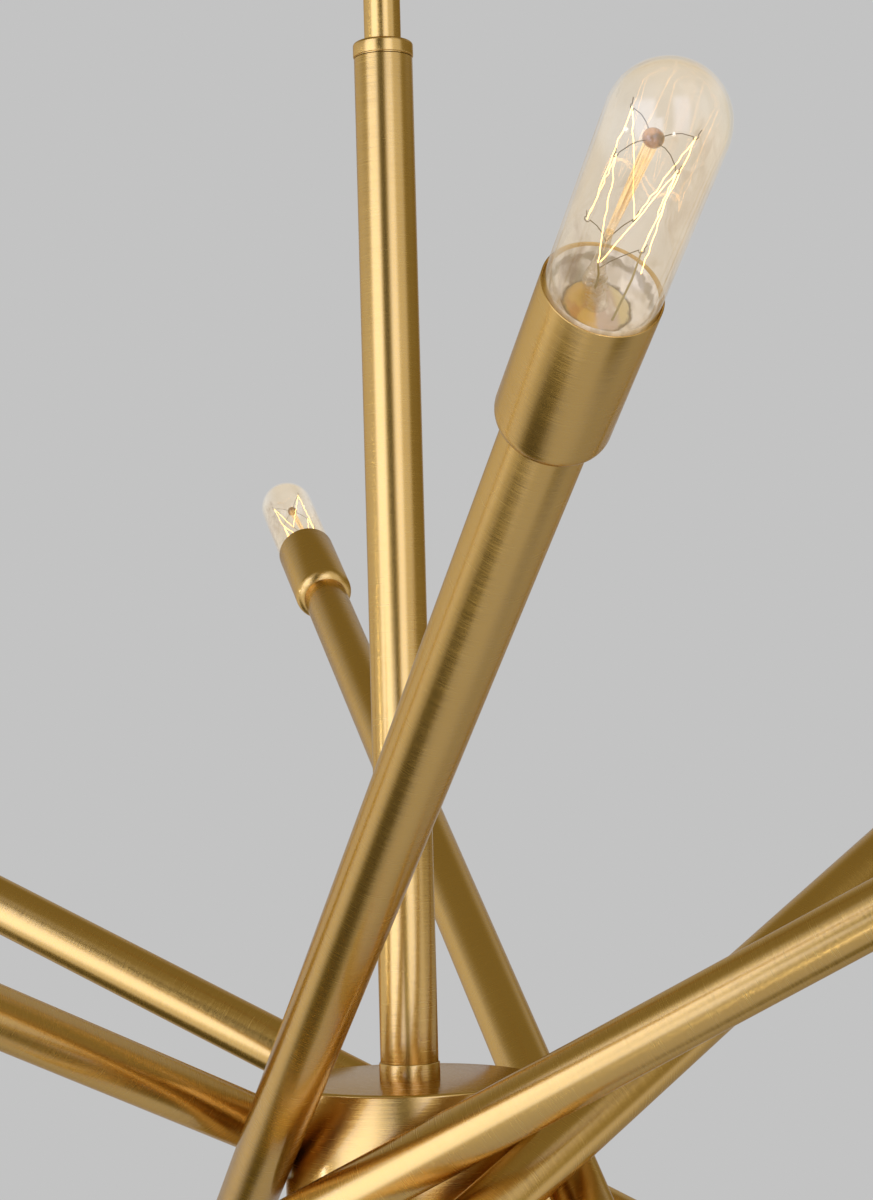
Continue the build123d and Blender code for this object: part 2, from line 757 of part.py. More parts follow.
# The two leads rise from the sides of the pinch
lead_radius = press_tube_diameter / 2 + wire_diameter / 2 + wire_gap
for point in (lower_points[0], lower_points[-1]):
    inner = Vector(point.X, point.Y, 0).normalized() * lead_radius
    supports.append((inner + Vector(0, 0, press_bottom), point))

with BuildPart() as filament_pattern:
    for start, end in strands + supports:
        with BuildSketch(wire_plane(start, end)):
            Circle(wire_diameter / 2)
        extrude(amount=(end - start).length)
    with Locations(*upper_points, *lower_points):
        Sphere(hook_diameter / 2)

# Place the end pieces on the arms
for number, end in enumerate(arm_ends, 1):
    with BuildPart() as socket_cup:
        add(cup_pattern.part.moved(end.location))
    socket_cup.part.label = f"socket_cup_{number}"
    export_step(socket_cup.part, f"parts/socket_cup_{number}.step")

with BuildPart() as lampholders:
    for end in arm_ends:
        add(holder_pattern.part.moved(end.location))
lampholders.part.label = "lampholders"
export_step(lampholders.part, "parts/lampholders.step")

with BuildPart() as socket_shells:
    for end in arm_ends:
        add(shell_pattern.part.moved(end.location))
socket_shells.part.label = "socket_shells"
export_step(socket_shells.part, "parts/socket_shells.step")

with BuildPart() as socket_contacts:
    for end in arm_ends:
        add(contact_pattern.part.moved(end.location))
socket_contacts.part.label = "socket_contacts"
export_step(socket_contacts.part, "parts/socket_contacts.step")

for number, end in enumerate(arm_ends, 1):
    with BuildPart() as bulb_base:
        add(base_pattern.part.moved(end.location))
    bulb_base.part.label = f"bulb_base_{number}"
    export_step(bulb_base.part, f"parts/bulb_base_{number}.step")

    with BuildPart() as bulb_glass:
        add(glass_pattern.part.moved(end.location))
    bulb_glass.part.label = f"bulb_glass_{number}"
    export_step(bulb_glass.part, f"parts/bulb_glass_{number}.step")

    with BuildPart() as bulb_works:
        add(stem_pattern.part.moved(end.location))
        add(filament_pattern.part.moved(end.location))
    bulb_works.part.label = f"bulb_works_{number}"
    export_step(bulb_works.part, f"parts/bulb_works_{number}.step")

# Axes that the moving pieces turn on, in millimetres
print("swivel turns about Z, pin at", round(pin_height, 3))
for number, end in enumerate(arm_ends, 1):
    print("bulb", number, "axis at", end.origin, "along", end.z_dir)
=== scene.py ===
"""Looks of a brass chandelier with crossed arms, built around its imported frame.

Sizes are in metres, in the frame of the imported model: Z up, with the ceiling at zero.
"""

import json
import logging
import math
import random
from dataclasses import dataclass
from enum import Enum
from typing import Any, Optional, Sequence, Union

import bmesh
import bpy
from mathutils import Matrix, Vector


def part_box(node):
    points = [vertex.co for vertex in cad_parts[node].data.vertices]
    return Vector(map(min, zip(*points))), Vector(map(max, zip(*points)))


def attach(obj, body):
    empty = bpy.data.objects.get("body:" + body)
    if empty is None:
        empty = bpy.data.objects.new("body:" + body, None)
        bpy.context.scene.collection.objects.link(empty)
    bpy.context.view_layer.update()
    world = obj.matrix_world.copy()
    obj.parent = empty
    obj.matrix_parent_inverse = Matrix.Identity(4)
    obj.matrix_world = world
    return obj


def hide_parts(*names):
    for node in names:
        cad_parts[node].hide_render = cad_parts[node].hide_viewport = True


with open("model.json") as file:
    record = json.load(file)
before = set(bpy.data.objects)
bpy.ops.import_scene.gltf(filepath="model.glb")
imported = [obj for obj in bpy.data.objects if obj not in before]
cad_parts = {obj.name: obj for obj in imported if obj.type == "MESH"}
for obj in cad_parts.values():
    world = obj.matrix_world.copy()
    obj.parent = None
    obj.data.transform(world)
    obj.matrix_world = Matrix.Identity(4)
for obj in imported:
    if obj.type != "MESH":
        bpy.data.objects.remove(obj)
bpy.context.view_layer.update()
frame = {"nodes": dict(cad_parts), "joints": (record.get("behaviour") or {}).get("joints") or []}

LOG = logging.getLogger("chandelier")
MM = 0.001
UP = Vector((0.0, 0.0, 1.0))
ARM_NUMBERS = range(1, 7)
SHARP_ANGLE = math.radians(32)
LARGE_SEGMENTS = 160
MEDIUM_SEGMENTS = 128

Color = tuple[float, float, float, float]
Place = tuple[float, float, float]
Pair = tuple[float, float]
Number = Union[float, "Signal"]
Material = bpy.types.Material
Mesh = bmesh.types.BMesh

BLACK: Color = (0.0, 0.0, 0.0, 1.0)
WHITE: Color = (1.0, 1.0, 1.0, 1.0)


class Body(Enum):
    """Rigid bodies of the frame that new pieces ride on."""

    CEILING = "ceiling_plate"
    FIXTURE = "fixture"


class Slot(Enum):
    """Material slots of the record."""

    BRASS = "satin_brass"
    GLASS = "clear_glass"
    FILAMENT = "lit_filament"


# Shader maths


@dataclass(frozen=True)
class Signal:
    """An output socket in a shader, with Python's operators as Math nodes."""

    shade: "Shade"
    socket: bpy.types.NodeSocket

    def output(self, name: Union[str, int]) -> "Signal":
        """Another output of the same node."""
        return Signal(self.shade, self.socket.node.outputs[name])

    def math(self, operation: str, *values: Number) -> "Signal":
        """The result of a Math node on these values."""
        return self.shade.node("ShaderNodeMath", {"operation": operation}, dict(enumerate(values)))

    def __add__(self, other: Number) -> "Signal":
        """Sum."""
        return self.math("ADD", self, other)

    def __radd__(self, other: Number) -> "Signal":
        """Sum with a number on the left."""
        return self.math("ADD", other, self)

    def __sub__(self, other: Number) -> "Signal":
        """Difference."""
        return self.math("SUBTRACT", self, other)

    def __rsub__(self, other: Number) -> "Signal":
        """Difference with a number on the left."""
        return self.math("SUBTRACT", other, self)

    def __mul__(self, other: Number) -> "Signal":
        """Product."""
        return self.math("MULTIPLY", self, other)

    def __rmul__(self, other: Number) -> "Signal":
        """Product with a number on the left."""
        return self.math("MULTIPLY", other, self)

    def __pow__(self, other: Number) -> "Signal":
        """Power."""
        return self.math("POWER", self, other)

    def smooth(self, low: float, high: float) -> "Signal":
        """Smooth step from 0 at low to 1 at high."""
        settings = {"interpolation_type": "SMOOTHSTEP"}
        return self.shade.node("ShaderNodeMapRange", settings, {0: self, 1: low, 2: high, 3: 0.0, 4: 1.0})


class Shade:
    """The node tree of a material or world, emptied and filled again."""

    def __init__(self, tree: bpy.types.NodeTree) -> None:
        """Empties the tree."""
        self.tree = tree
        tree.nodes.clear()

    def node(
        self,
        kind: str,
        settings: Optional[dict[str, Any]] = None,
        inputs: Optional[dict[Union[str, int], Any]] = None,
        output: Union[str, int] = 0,
    ) -> Signal:
        """Adds one node.

        Args:
            kind: the node's type.
            settings: properties of the node, set before its sockets.
            inputs: values or signals for its sockets, by name or number.
            output: the output that is returned.

        Returns:
            That output of the new node.
        """
        made = self.tree.nodes.new(kind)
        for name, value in (settings or {}).items():
            setattr(made, name, value)
        for key, value in (inputs or {}).items():
            if isinstance(value, Signal):
                self.tree.links.new(value.socket, made.inputs[key])
            else:
                made.inputs[key].default_value = value
        outputs = made.outputs
        return Signal(self, outputs[output] if outputs else None)

    def mix(self, share: Number, first: Any, second: Any) -> Signal:
        """A share of the second colour over the first."""
        return self.node("ShaderNodeMix", {"data_type": "RGBA"}, {0: share, 6: first, 7: second}, 2)

    def noise(self, vector: Signal, scale: float, detail: float = 2.0) -> Signal:
        """Soft noise from 0 to 1 over a vector."""
        return self.node("ShaderNodeTexNoise", None, {"Vector": vector, "Scale": scale, "Detail": detail})

    def place(self) -> Signal:
        """Object coordinates."""
        return self.node("ShaderNodeTexCoord", None, None, "Object")

    def split(self, vector: Signal) -> tuple[Signal, Signal, Signal]:
        """The three parts of a vector."""
        parts = self.node("ShaderNodeSeparateXYZ", None, {0: vector})
        return parts, parts.output(1), parts.output(2)

    def spread(self, x: Number, y: Number, z: Number) -> Signal:
        """A vector from three values."""
        return self.node("ShaderNodeCombineXYZ", None, {0: x, 1: y, 2: z})

    def bump(self, height: Signal, strength: float, depth: float) -> Signal:
        """A normal that is bent by a height."""
        return self.node("ShaderNodeBump", None, {"Strength": strength, "Distance": depth, "Height": height})

    def principled(self, inputs: dict[str, Any]) -> Signal:
        """A Principled shader."""
        return self.node("ShaderNodeBsdfPrincipled", None, inputs)

    def blend(self, share: Signal, first: Signal, second: Signal) -> Signal:
        """A share of the second shader over the first."""
        return self.node("ShaderNodeMixShader", None, {0: share, 1: first, 2: second})

    def surface(self, shader: Signal, kind: str = "ShaderNodeOutputMaterial") -> None:
        """Links a shader to the tree's output."""
        self.node(kind, None, {"Surface": shader})


# Axes and meshes


@dataclass(frozen=True)
class Axis:
    """A straight axis in the frame, with a side direction that fixes its turn."""

    origin: Vector
    direction: Vector
    side: Vector

    def matrix(self) -> Matrix:
        """Matrix from the axis's own space, where it is Z, to the frame."""
        turn = Matrix((self.side, self.direction.cross(self.side), self.direction)).transposed().to_4x4()
        return Matrix.Translation(self.origin) @ turn

    def extent(self, node: str) -> tuple[float, float, float]:
        """Size of a CAD node about this axis.

        Args:
            node: name of the node.

        Returns:
            Its largest radius, and its lowest and highest place along the axis.
        """
        to_axis = self.matrix().inverted()
        places = [to_axis @ vertex.co for vertex in frame["nodes"][node].data.vertices]
        heights = [place.z for place in places]
        return max(place.xy.length for place in places), min(heights), max(heights)


UPRIGHT = Axis(Vector((0.0, 0.0, 0.0)), UP, Vector((1.0, 0.0, 0.0)))


def at_mm(place: Place) -> Vector:
    """A place that is given in millimetres."""
    return Vector(place) * MM


def arm_axis(number: int) -> Axis:
    """Finds the axis of an arm.

    Args:
        number: the arm's number.

    Returns:
        The axis, with zero at the socket cup's outer floor.
    """
    joint = next(one for one in frame["joints"] if one["name"] == f"bulb_{number}_turn")
    direction = Vector(joint["axis"]).normalized()
    return Axis(Vector(joint["pos_m"]), direction, direction.cross(UP).normalized())


def rim_axis(number: int) -> Axis:
    """Finds the axis of an arm's bulb.

    Args:
        number: the arm's number.

    Returns:
        The axis, with zero at the socket cup's rim.
    """
    arm = arm_axis(number)
    rim = arm.extent(f"socket_cup_{number}")[2]
    return Axis(arm.origin + arm.direction * rim, arm.direction, arm.side)


class Lathe:
    """A half section in the XZ plane, drawn point by point and spun about Z."""

    def __init__(self, radius: float, height: float, segments: int = 96) -> None:
        """Starts the section at one point.

        Args:
            radius: the point's distance from the Z axis.
            height: the point's height.
            segments: number of steps in the full turn.
        """
        self.mesh = bmesh.new()
        self.segments = segments
        self.first = self.mesh.verts.new((radius, 0.0, height))
        self.tip = self.first

    def line(self, radius: float, height: float) -> "Lathe":
        """Straight stretch to a point.

        Args:
            radius: the point's distance from the Z axis.
            height: the point's height.

        Returns:
            This section.
        """
        point = self.mesh.verts.new((radius, 0.0, height))
        self.mesh.edges.new((self.tip, point))
        self.tip = point
        return self

    def arc(self, radius: float, height: float, degrees: float, steps: int = 6) -> "Lathe":
        """Round stretch about a centre.

        Args:
            radius: the centre's distance from the Z axis.
            height: the centre's height.
            degrees: turn, positive from outwards to upwards.
            steps: number of edges.

        Returns:
            This section.
        """
        made = bmesh.ops.spin(
            self.mesh, geom=[self.tip], cent=(radius, 0.0, height), axis=(0.0, -1.0, 0.0),
            angle=math.radians(degrees), steps=steps,
        )
        self.tip = next(item for item in made["geom_last"] if isinstance(item, bmesh.types.BMVert))
        return self

    def close(self) -> "Lathe":
        """Joins the end to the start."""
        self.mesh.edges.new((self.tip, self.first))
        return self

    def spin(self) -> Mesh:
        """Spins the section a full turn.

        Returns:
            The closed mesh, with its faces outwards.
        """
        geometry = list(self.mesh.verts) + list(self.mesh.edges)
        bmesh.ops.spin(
            self.mesh, geom=geometry, cent=(0.0, 0.0, 0.0), axis=UP, angle=math.tau,
            steps=self.segments, use_merge=True,
        )
        bmesh.ops.remove_doubles(self.mesh, verts=self.mesh.verts, dist=1e-7)
        bmesh.ops.recalc_face_normals(self.mesh, faces=self.mesh.faces)
        return self.mesh


def draw_wire(mesh: Mesh, points: list[Vector], radii: list[float], sides: int = 8) -> None:
    """Draws round wire through points by pulling a ring from one to the next.

    Args:
        mesh: mesh that takes the wire.
        points: the wire's middle line.
        radii: its radius at each point.
        sides: number of sides of its section.
    """
    ways = [
        (points[min(place + 1, len(points) - 1)] - points[max(place - 1, 0)]).normalized()
        for place in range(len(points))
    ]
    start = Matrix.Translation(points[0]) @ ways[0].to_track_quat("Z", "Y").to_matrix().to_4x4()
    ring = bmesh.ops.create_circle(mesh, cap_ends=True, radius=radii[0], segments=sides, matrix=start)
    rim = {edge for vertex in ring["verts"] for edge in vertex.link_edges}
    for place in range(1, len(points)):
        made = bmesh.ops.extrude_edge_only(mesh, edges=list(rim))["geom"]
        turn = ways[place - 1].rotation_difference(ways[place]).to_matrix().to_4x4()
        size = Matrix.Scale(radii[place] / radii[place - 1], 4)
        step = Matrix.Translation(points[place]) @ turn @ size @ Matrix.Translation(-points[place - 1])
        moved = [item for item in made if isinstance(item, bmesh.types.BMVert)]
        bmesh.ops.transform(mesh, matrix=step, verts=moved)
        rim = {item for item in made if isinstance(item, bmesh.types.BMEdge)}
    bmesh.ops.edgeloop_fill(mesh, edges=list(rim))


def make_piece(
    name: str,
    mesh: Mesh,
    axis: Axis,
    finish: Material,
    body: str,
    nodes: Sequence[str] = (),
) -> None:
    """Turns a bmesh into a finished piece.

    Args:
        name: name of the piece.
        mesh: its shape in the axis's own space, freed here.
        axis: where the piece stands.
        finish: its material.
        body: the body that it rides on.
        nodes: CAD nodes that it stands for.
    """
    bmesh.ops.transform(mesh, matrix=axis.matrix(), verts=mesh.verts)
    for face in mesh.faces:
        face.smooth = True
    for edge in mesh.edges:
        edge.smooth = edge.calc_face_angle(0.0) < SHARP_ANGLE
    data = bpy.data.meshes.new(name)
    mesh.to_mesh(data)
    mesh.free()
    data.materials.append(finish)
    piece = bpy.data.objects.new(name, data)
    bpy.context.scene.collection.objects.link(piece)
    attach(piece, body)
    if nodes:
        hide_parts(*nodes)
    LOG.info("%s rides on %s, %d faces", name, body, len(data.polygons))


def make_brass(
    name: str, section: Lathe, axis: Axis, brass: Material, node: str, body: Body = Body.FIXTURE
) -> None:
    """Spins a section into a brass piece that stands for a node."""
    make_piece(name, section.spin(), axis, brass, body.value, [node])


def tube_section(radius: float, low: float, high: float, wall: float, edge: float) -> Lathe:
    """Half section of a tube.

    Args:
        radius: its outer radius.
        low: place of its lower end.
        high: place of its upper end.
        wall: thickness of its wall.
        edge: radius of its outer edges.

    Returns:
        The closed section.
    """
    inner = radius - wall
    section = Lathe(inner, low).line(radius - edge, low).arc(radius - edge, low + edge, 90, steps=3)
    section.line(radius, high - edge).arc(radius - edge, high - edge, 90, steps=3)
    return section.line(inner, high).close()


# Finishes


def new_shade(name: str) -> tuple[Material, Shade]:
    """Starts a material.

    Args:
        name: name of the material.

    Returns:
        The material and its empty node tree.
    """
    material = bpy.data.materials.new(name)
    material.use_nodes = True
    return material, Shade(material.node_tree)


def axis_space(shade: Shade, axis: Axis) -> Signal:
    """Turns Object coordinates into an axis's own space.

    Args:
        shade: the material's node tree.
        axis: the axis.

    Returns:
        The coordinates, with Z along the axis.
    """
    to_axis = axis.matrix().inverted()
    inputs = {"Vector": shade.place(), "Location": to_axis.translation, "Rotation": to_axis.to_euler()}
    return shade.node("ShaderNodeMapping", {"vector_type": "POINT"}, inputs)


@dataclass(frozen=True)
class SatinBrass:
    """Brass brushed round its axis, under a thin clear lacquer."""

    dark: Color = (0.58, 0.345, 0.072, 1.0)
    light: Color = (0.68, 0.437, 0.127, 1.0)
    edge_tint: Color = (0.64, 0.48, 0.25, 1.0)
    roughness: float = 0.22
    roughness_spread: float = 0.08
    lines_per_metre: float = 2600.0
    waves_per_metre: float = 70.0
    cloud_scale: float = 22.0
    hairlines_per_metre: float = 40000.0
    line_tilt: float = 0.5
    brushing_share: float = 0.6
    cloud_share: float = 0.4
    lacquer: float = 0.45
    lacquer_index: float = 2.2
    lacquer_roughness: float = 0.15

    def on(self, axis: Axis, name: str) -> Material:
        """Brass for a turned piece.

        Args:
            axis: the axis that the brushing goes round.
            name: name of the material.

        Returns:
            The material.
        """
        material, shade = new_shade(name)
        x, y, z = shade.split(axis_space(shade, axis))
        reach = (x * x + y * y) ** 0.5
        wave_x = x * self.waves_per_metre
        wave_y = y * self.waves_per_metre
        along = z + reach
        lines = shade.spread(wave_x, wave_y, along * self.lines_per_metre)
        brushing = shade.noise(lines, 1.0, detail=3.0)
        lines = shade.spread(wave_x, wave_y, along * self.hairlines_per_metre)
        hairlines = shade.noise(lines, 1.0, detail=0.0)
        clouds = shade.noise(shade.spread(x, y, z), self.cloud_scale)
        tone = brushing * self.brushing_share + clouds * self.cloud_share
        across = shade.node("ShaderNodeMapping", {"vector_type": "VECTOR"}, {
            "Vector": shade.spread(x * reach ** -1.0, y * reach ** -1.0, 1.0),
            "Rotation": axis.matrix().to_euler(),
        })
        across = shade.node("ShaderNodeVectorTransform", {
            "vector_type": "VECTOR", "convert_from": "OBJECT", "convert_to": "WORLD"
        }, {0: across})
        tilt = shade.node("ShaderNodeVectorMath", {"operation": "SCALE"}, {
            "Vector": across, "Scale": (hairlines - 0.5) * self.line_tilt
        })
        facing = shade.node("ShaderNodeNewGeometry", None, None, "Normal")
        brushed = shade.node("ShaderNodeVectorMath", {"operation": "ADD"}, {0: facing, 1: tilt})
        brushed = shade.node("ShaderNodeVectorMath", {"operation": "NORMALIZE"}, {0: brushed})
        shade.surface(shade.principled({
            "Base Color": shade.mix(tone, self.dark, self.light),
            "Metallic": 1.0,
            "Specular Tint": self.edge_tint,
            "Roughness": self.roughness + brushing * self.roughness_spread,
            "Normal": brushed,
            "Coat Weight": self.lacquer,
            "Coat IOR": self.lacquer_index,
            "Coat Roughness": self.lacquer_roughness,
        }))
        return material


@dataclass(frozen=True)
class PlainFinish:
    """A finish of one colour with fine speckle, for small hardware."""

    name: str
    dark: Color
    light: Color
    metallic: float
    roughness: float
    roughness_spread: float = 0.15
    speckle: float = 900.0
    speckle_bump: float = 0.2
    speckle_depth: float = 0.02 * MM

    def material(self) -> Material:
        """Makes the finish.

        Returns:
            The material.
        """
        material, shade = new_shade(self.name)
        grain = shade.noise(shade.place(), self.speckle)
        shade.surface(shade.principled({
            "Base Color": shade.mix(grain, self.dark, self.light),
            "Metallic": self.metallic,
            "Roughness": self.roughness + grain * self.roughness_spread,
            "Normal": shade.bump(grain, self.speckle_bump, self.speckle_depth),
        }))
        return material


@dataclass(frozen=True)
class BulbGlass:
    """Clear glass with a faint painted glow for the lit filament's light, and painted reflection streaks
    along its sides.
    """

    # Colours of the painted glow that stands in for the lit filament's light in the glass.
    warm: Color = (1.0, 0.70, 0.31, 1.0)
    pale: Color = (0.76, 0.63, 0.42, 1.0)
    amber: Color = (0.40, 0.24, 0.03, 1.0)
    # Brown of the painted reflection streaks: the brass round the bulb, seen in the glass's sides.
    reflection_brown: Color = (0.24, 0.13, 0.03, 1.0)
    glow_strength: float = 1.6
    glow_share: float = 0.058
    edge_glow_share: float = 0.03
    side_glow_share: float = 0.06
    reflection_streak_share: float = 0.12
    polish: float = 0.004
    reach: float = 15.9 * MM
    dome_zone: Pair = (46.0 * MM, 58.0 * MM)
    base_shine: float = 0.045
    rim_shine: float = 0.8
    rim_power: float = 5.0
    edge_power: float = 3.0
    glow_roughness: float = 0.3
    drift_scale: float = 60.0
    drift: float = 2.2
    wisps_across: float = 90.0
    wisps_along: float = 16.0
    wisp_rise: Pair = (0.52, 0.60)
    wisp_fall: Pair = (0.60, 0.70)
    reflection_streak_zone: Pair = (0.35, 0.8)
    tone_zone: Pair = (0.4, 0.95)
    side_zone: Pair = (0.5, 1.0)

    def on(self, axis: Axis, name: str) -> Material:
        """Glass for the bulb on an axis.

        Args:
            axis: the bulb's axis.
            name: name of the material.

        Returns:
            The material.
        """
        material, shade = new_shade(name)
        x, y, z = shade.split(axis_space(shade, axis))
        facing = shade.node("ShaderNodeLayerWeight", None, {"Blend": 0.5}, "Facing")
        side = (x * x) ** 0.5 * (1.0 / self.reach)
        drift = shade.noise(shade.spread(x, y, z), self.drift_scale) * self.drift
        across = self.wisps_across
        wisps = shade.spread(x * across + drift, y * across + drift, z * self.wisps_along)
        wisps = shade.noise(wisps, 1.0, detail=3.0)
        dome = z.smooth(*self.dome_zone)
        # Painted reflection: brown streaks along the tube's sides, below the dome.
        reflection_streaks = wisps.smooth(*self.wisp_rise) * (1.0 - wisps.smooth(*self.wisp_fall))
        reflection_streaks = reflection_streaks * side.smooth(*self.reflection_streak_zone) * (1.0 - dome)
        tone = shade.mix(side.smooth(*self.tone_zone), self.warm, shade.mix(dome, self.amber, self.pale))
        # Painted glow: emission that stands in for the filament's light in the glass, warm in the middle,
        # amber at the tube's sides, pale at the dome.
        painted_glow = shade.principled({
            "Base Color": BLACK,
            "Roughness": self.glow_roughness,
            "Emission Color": shade.mix(reflection_streaks, tone, self.reflection_brown),
            "Emission Strength": self.glow_strength,
        })
        clear = shade.node("ShaderNodeBsdfTransparent", None, {"Color": WHITE})
        gloss = shade.node("ShaderNodeBsdfAnisotropic", None, {"Color": WHITE, "Roughness": self.polish})
        sides = side.smooth(*self.side_zone) * (1.0 - dome)
        # More of the painted glow towards the edges and the tube's sides.
        share = self.glow_share + facing ** self.edge_power * self.edge_glow_share + sides * self.side_glow_share
        share = share + reflection_streaks * self.reflection_streak_share
        shine = self.base_shine + self.rim_shine * facing ** self.rim_power
        shade.surface(shade.blend(shine, shade.blend(share, clear, painted_glow), gloss))
        return material


@dataclass(frozen=True)
class PressGlass:
    """Lumps of clear glass where the stem is pinched."""

    tint: Color = (0.90, 0.87, 0.83, 1.0)
    polish: float = 0.03
    wave_scale: float = 700.0
    wave_bump: float = 0.8
    wave_depth: float = 0.4 * MM
    base_shine: float = 0.14
    rim_shine: float = 0.8
    rim_power: float = 2.0

    def material(self) -> Material:
        """Makes the pinched glass.

        Returns:
            The material.
        """
        material, shade = new_shade("pinched_glass")
        bump = shade.bump(shade.noise(shade.place(), self.wave_scale), self.wave_bump, self.wave_depth)
        facing = shade.node("ShaderNodeLayerWeight", None, {"Blend": 0.5, "Normal": bump}, "Facing")
        clear = shade.node("ShaderNodeBsdfTransparent", None, {"Color": self.tint})
        gloss = shade.node("ShaderNodeBsdfAnisotropic", None, {
            "Color": WHITE, "Roughness": self.polish, "Normal": bump
        })
        shine = self.base_shine + self.rim_shine * facing ** self.rim_power
        shade.surface(shade.blend(shine, clear, gloss))
        return material


@dataclass(frozen=True)
class Filament:
    """Glowing filament wire."""

    glow: Color = (1.0, 0.47, 0.11, 1.0)
    hot: Color = (1.0, 0.55, 0.16, 1.0)
    cold: Color = (0.3, 0.25, 0.2, 1.0)
    strength: float = 6.0
    roughness: float = 0.6
    patch_scale: float = 160.0

    def material(self) -> Material:
        """Makes the glowing wire.

        Returns:
            The material.
        """
        material, shade = new_shade("glowing_wire")
        patches = shade.noise(shade.place(), self.patch_scale)
        shade.surface(shade.principled({
            "Base Color": self.cold,
            "Roughness": self.roughness,
            "Emission Color": shade.mix(patches, self.glow, self.hot),
            "Emission Strength": self.strength,
        }))
        return material


@dataclass(frozen=True)
class AmberRod:
    """Amber glass rod in lengthwise lines, under a painted glow for the filament's light that it carries."""

    # Colours of the rod's lines; they also colour its painted glow.
    dark: Color = (0.42, 0.22, 0.05, 1.0)
    light: Color = (1.0, 0.72, 0.30, 1.0)
    strength: float = 0.55
    roughness: float = 0.1
    lean: float = 0.05
    strands_across: float = 1500.0
    strands_along: float = 25.0
    line_zone: Pair = (0.36, 0.56)
    bright_zone: Pair = (0.5, 0.62)
    upper_zone: Pair = (16.0 * MM, 34.0 * MM)
    dark_cover: float = 0.55
    line_clear: float = 0.32
    bright_cover: float = 0.3
    foot_cover: float = 0.45

    def on(self, axis: Axis, name: str) -> Material:
        """Rod glass on a bulb's axis.

        Args:
            axis: the bulb's axis.
            name: name of the material.

        Returns:
            The material.
        """
        material, shade = new_shade(name)
        x, y, z = shade.split(axis_space(shade, axis))
        across = self.strands_across
        strands = shade.spread((x + z * self.lean) * across, y * across, z * self.strands_along)
        strands = shade.noise(strands, 1.0)
        lines = strands.smooth(*self.line_zone)
        bright = strands.smooth(*self.bright_zone)
        color = shade.mix(lines, self.dark, self.light)
        cover = self.dark_cover - lines * self.line_clear + bright * self.bright_cover
        upper = z.smooth(*self.upper_zone) * (1.0 - self.foot_cover)
        # The rod's emission is a painted glow that stands in for the filament's light carried along it.
        shade.surface(shade.principled({
            "Base Color": color,
            "Roughness": self.roughness,
            "Alpha": cover * (self.foot_cover + upper),
            "Emission Color": color,
            "Emission Strength": self.strength,
        }))
        return material


@dataclass(frozen=True)
class BeadGlass:
    """Dark glass bead with paler swirls, at the rod's top."""

    dark: Color = (0.085, 0.018, 0.007, 1.0)
    rosy: Color = (0.26, 0.085, 0.040, 1.0)
    amber: Color = (0.62, 0.27, 0.06, 1.0)
    swirl_scale: float = 330.0
    swirl_zone: Pair = (0.42, 0.62)
    band_scale: float = 190.0
    band_zone: Pair = (0.5, 0.68)
    roughness: float = 0.08

    def material(self) -> Material:
        """Makes the bead's glass.

        Returns:
            The material.
        """
        material, shade = new_shade("bead_glass")
        place = shade.place()
        swirl = shade.noise(place, self.swirl_scale, detail=3.0)
        bands = shade.noise(place, self.band_scale)
        color = shade.mix(swirl.smooth(*self.swirl_zone), self.dark, self.rosy)
        shade.surface(shade.principled({
            "Base Color": shade.mix(bands.smooth(*self.band_zone), color, self.amber),
            "Roughness": self.roughness,
            "Coat Weight": 1.0,
        }))
        return material


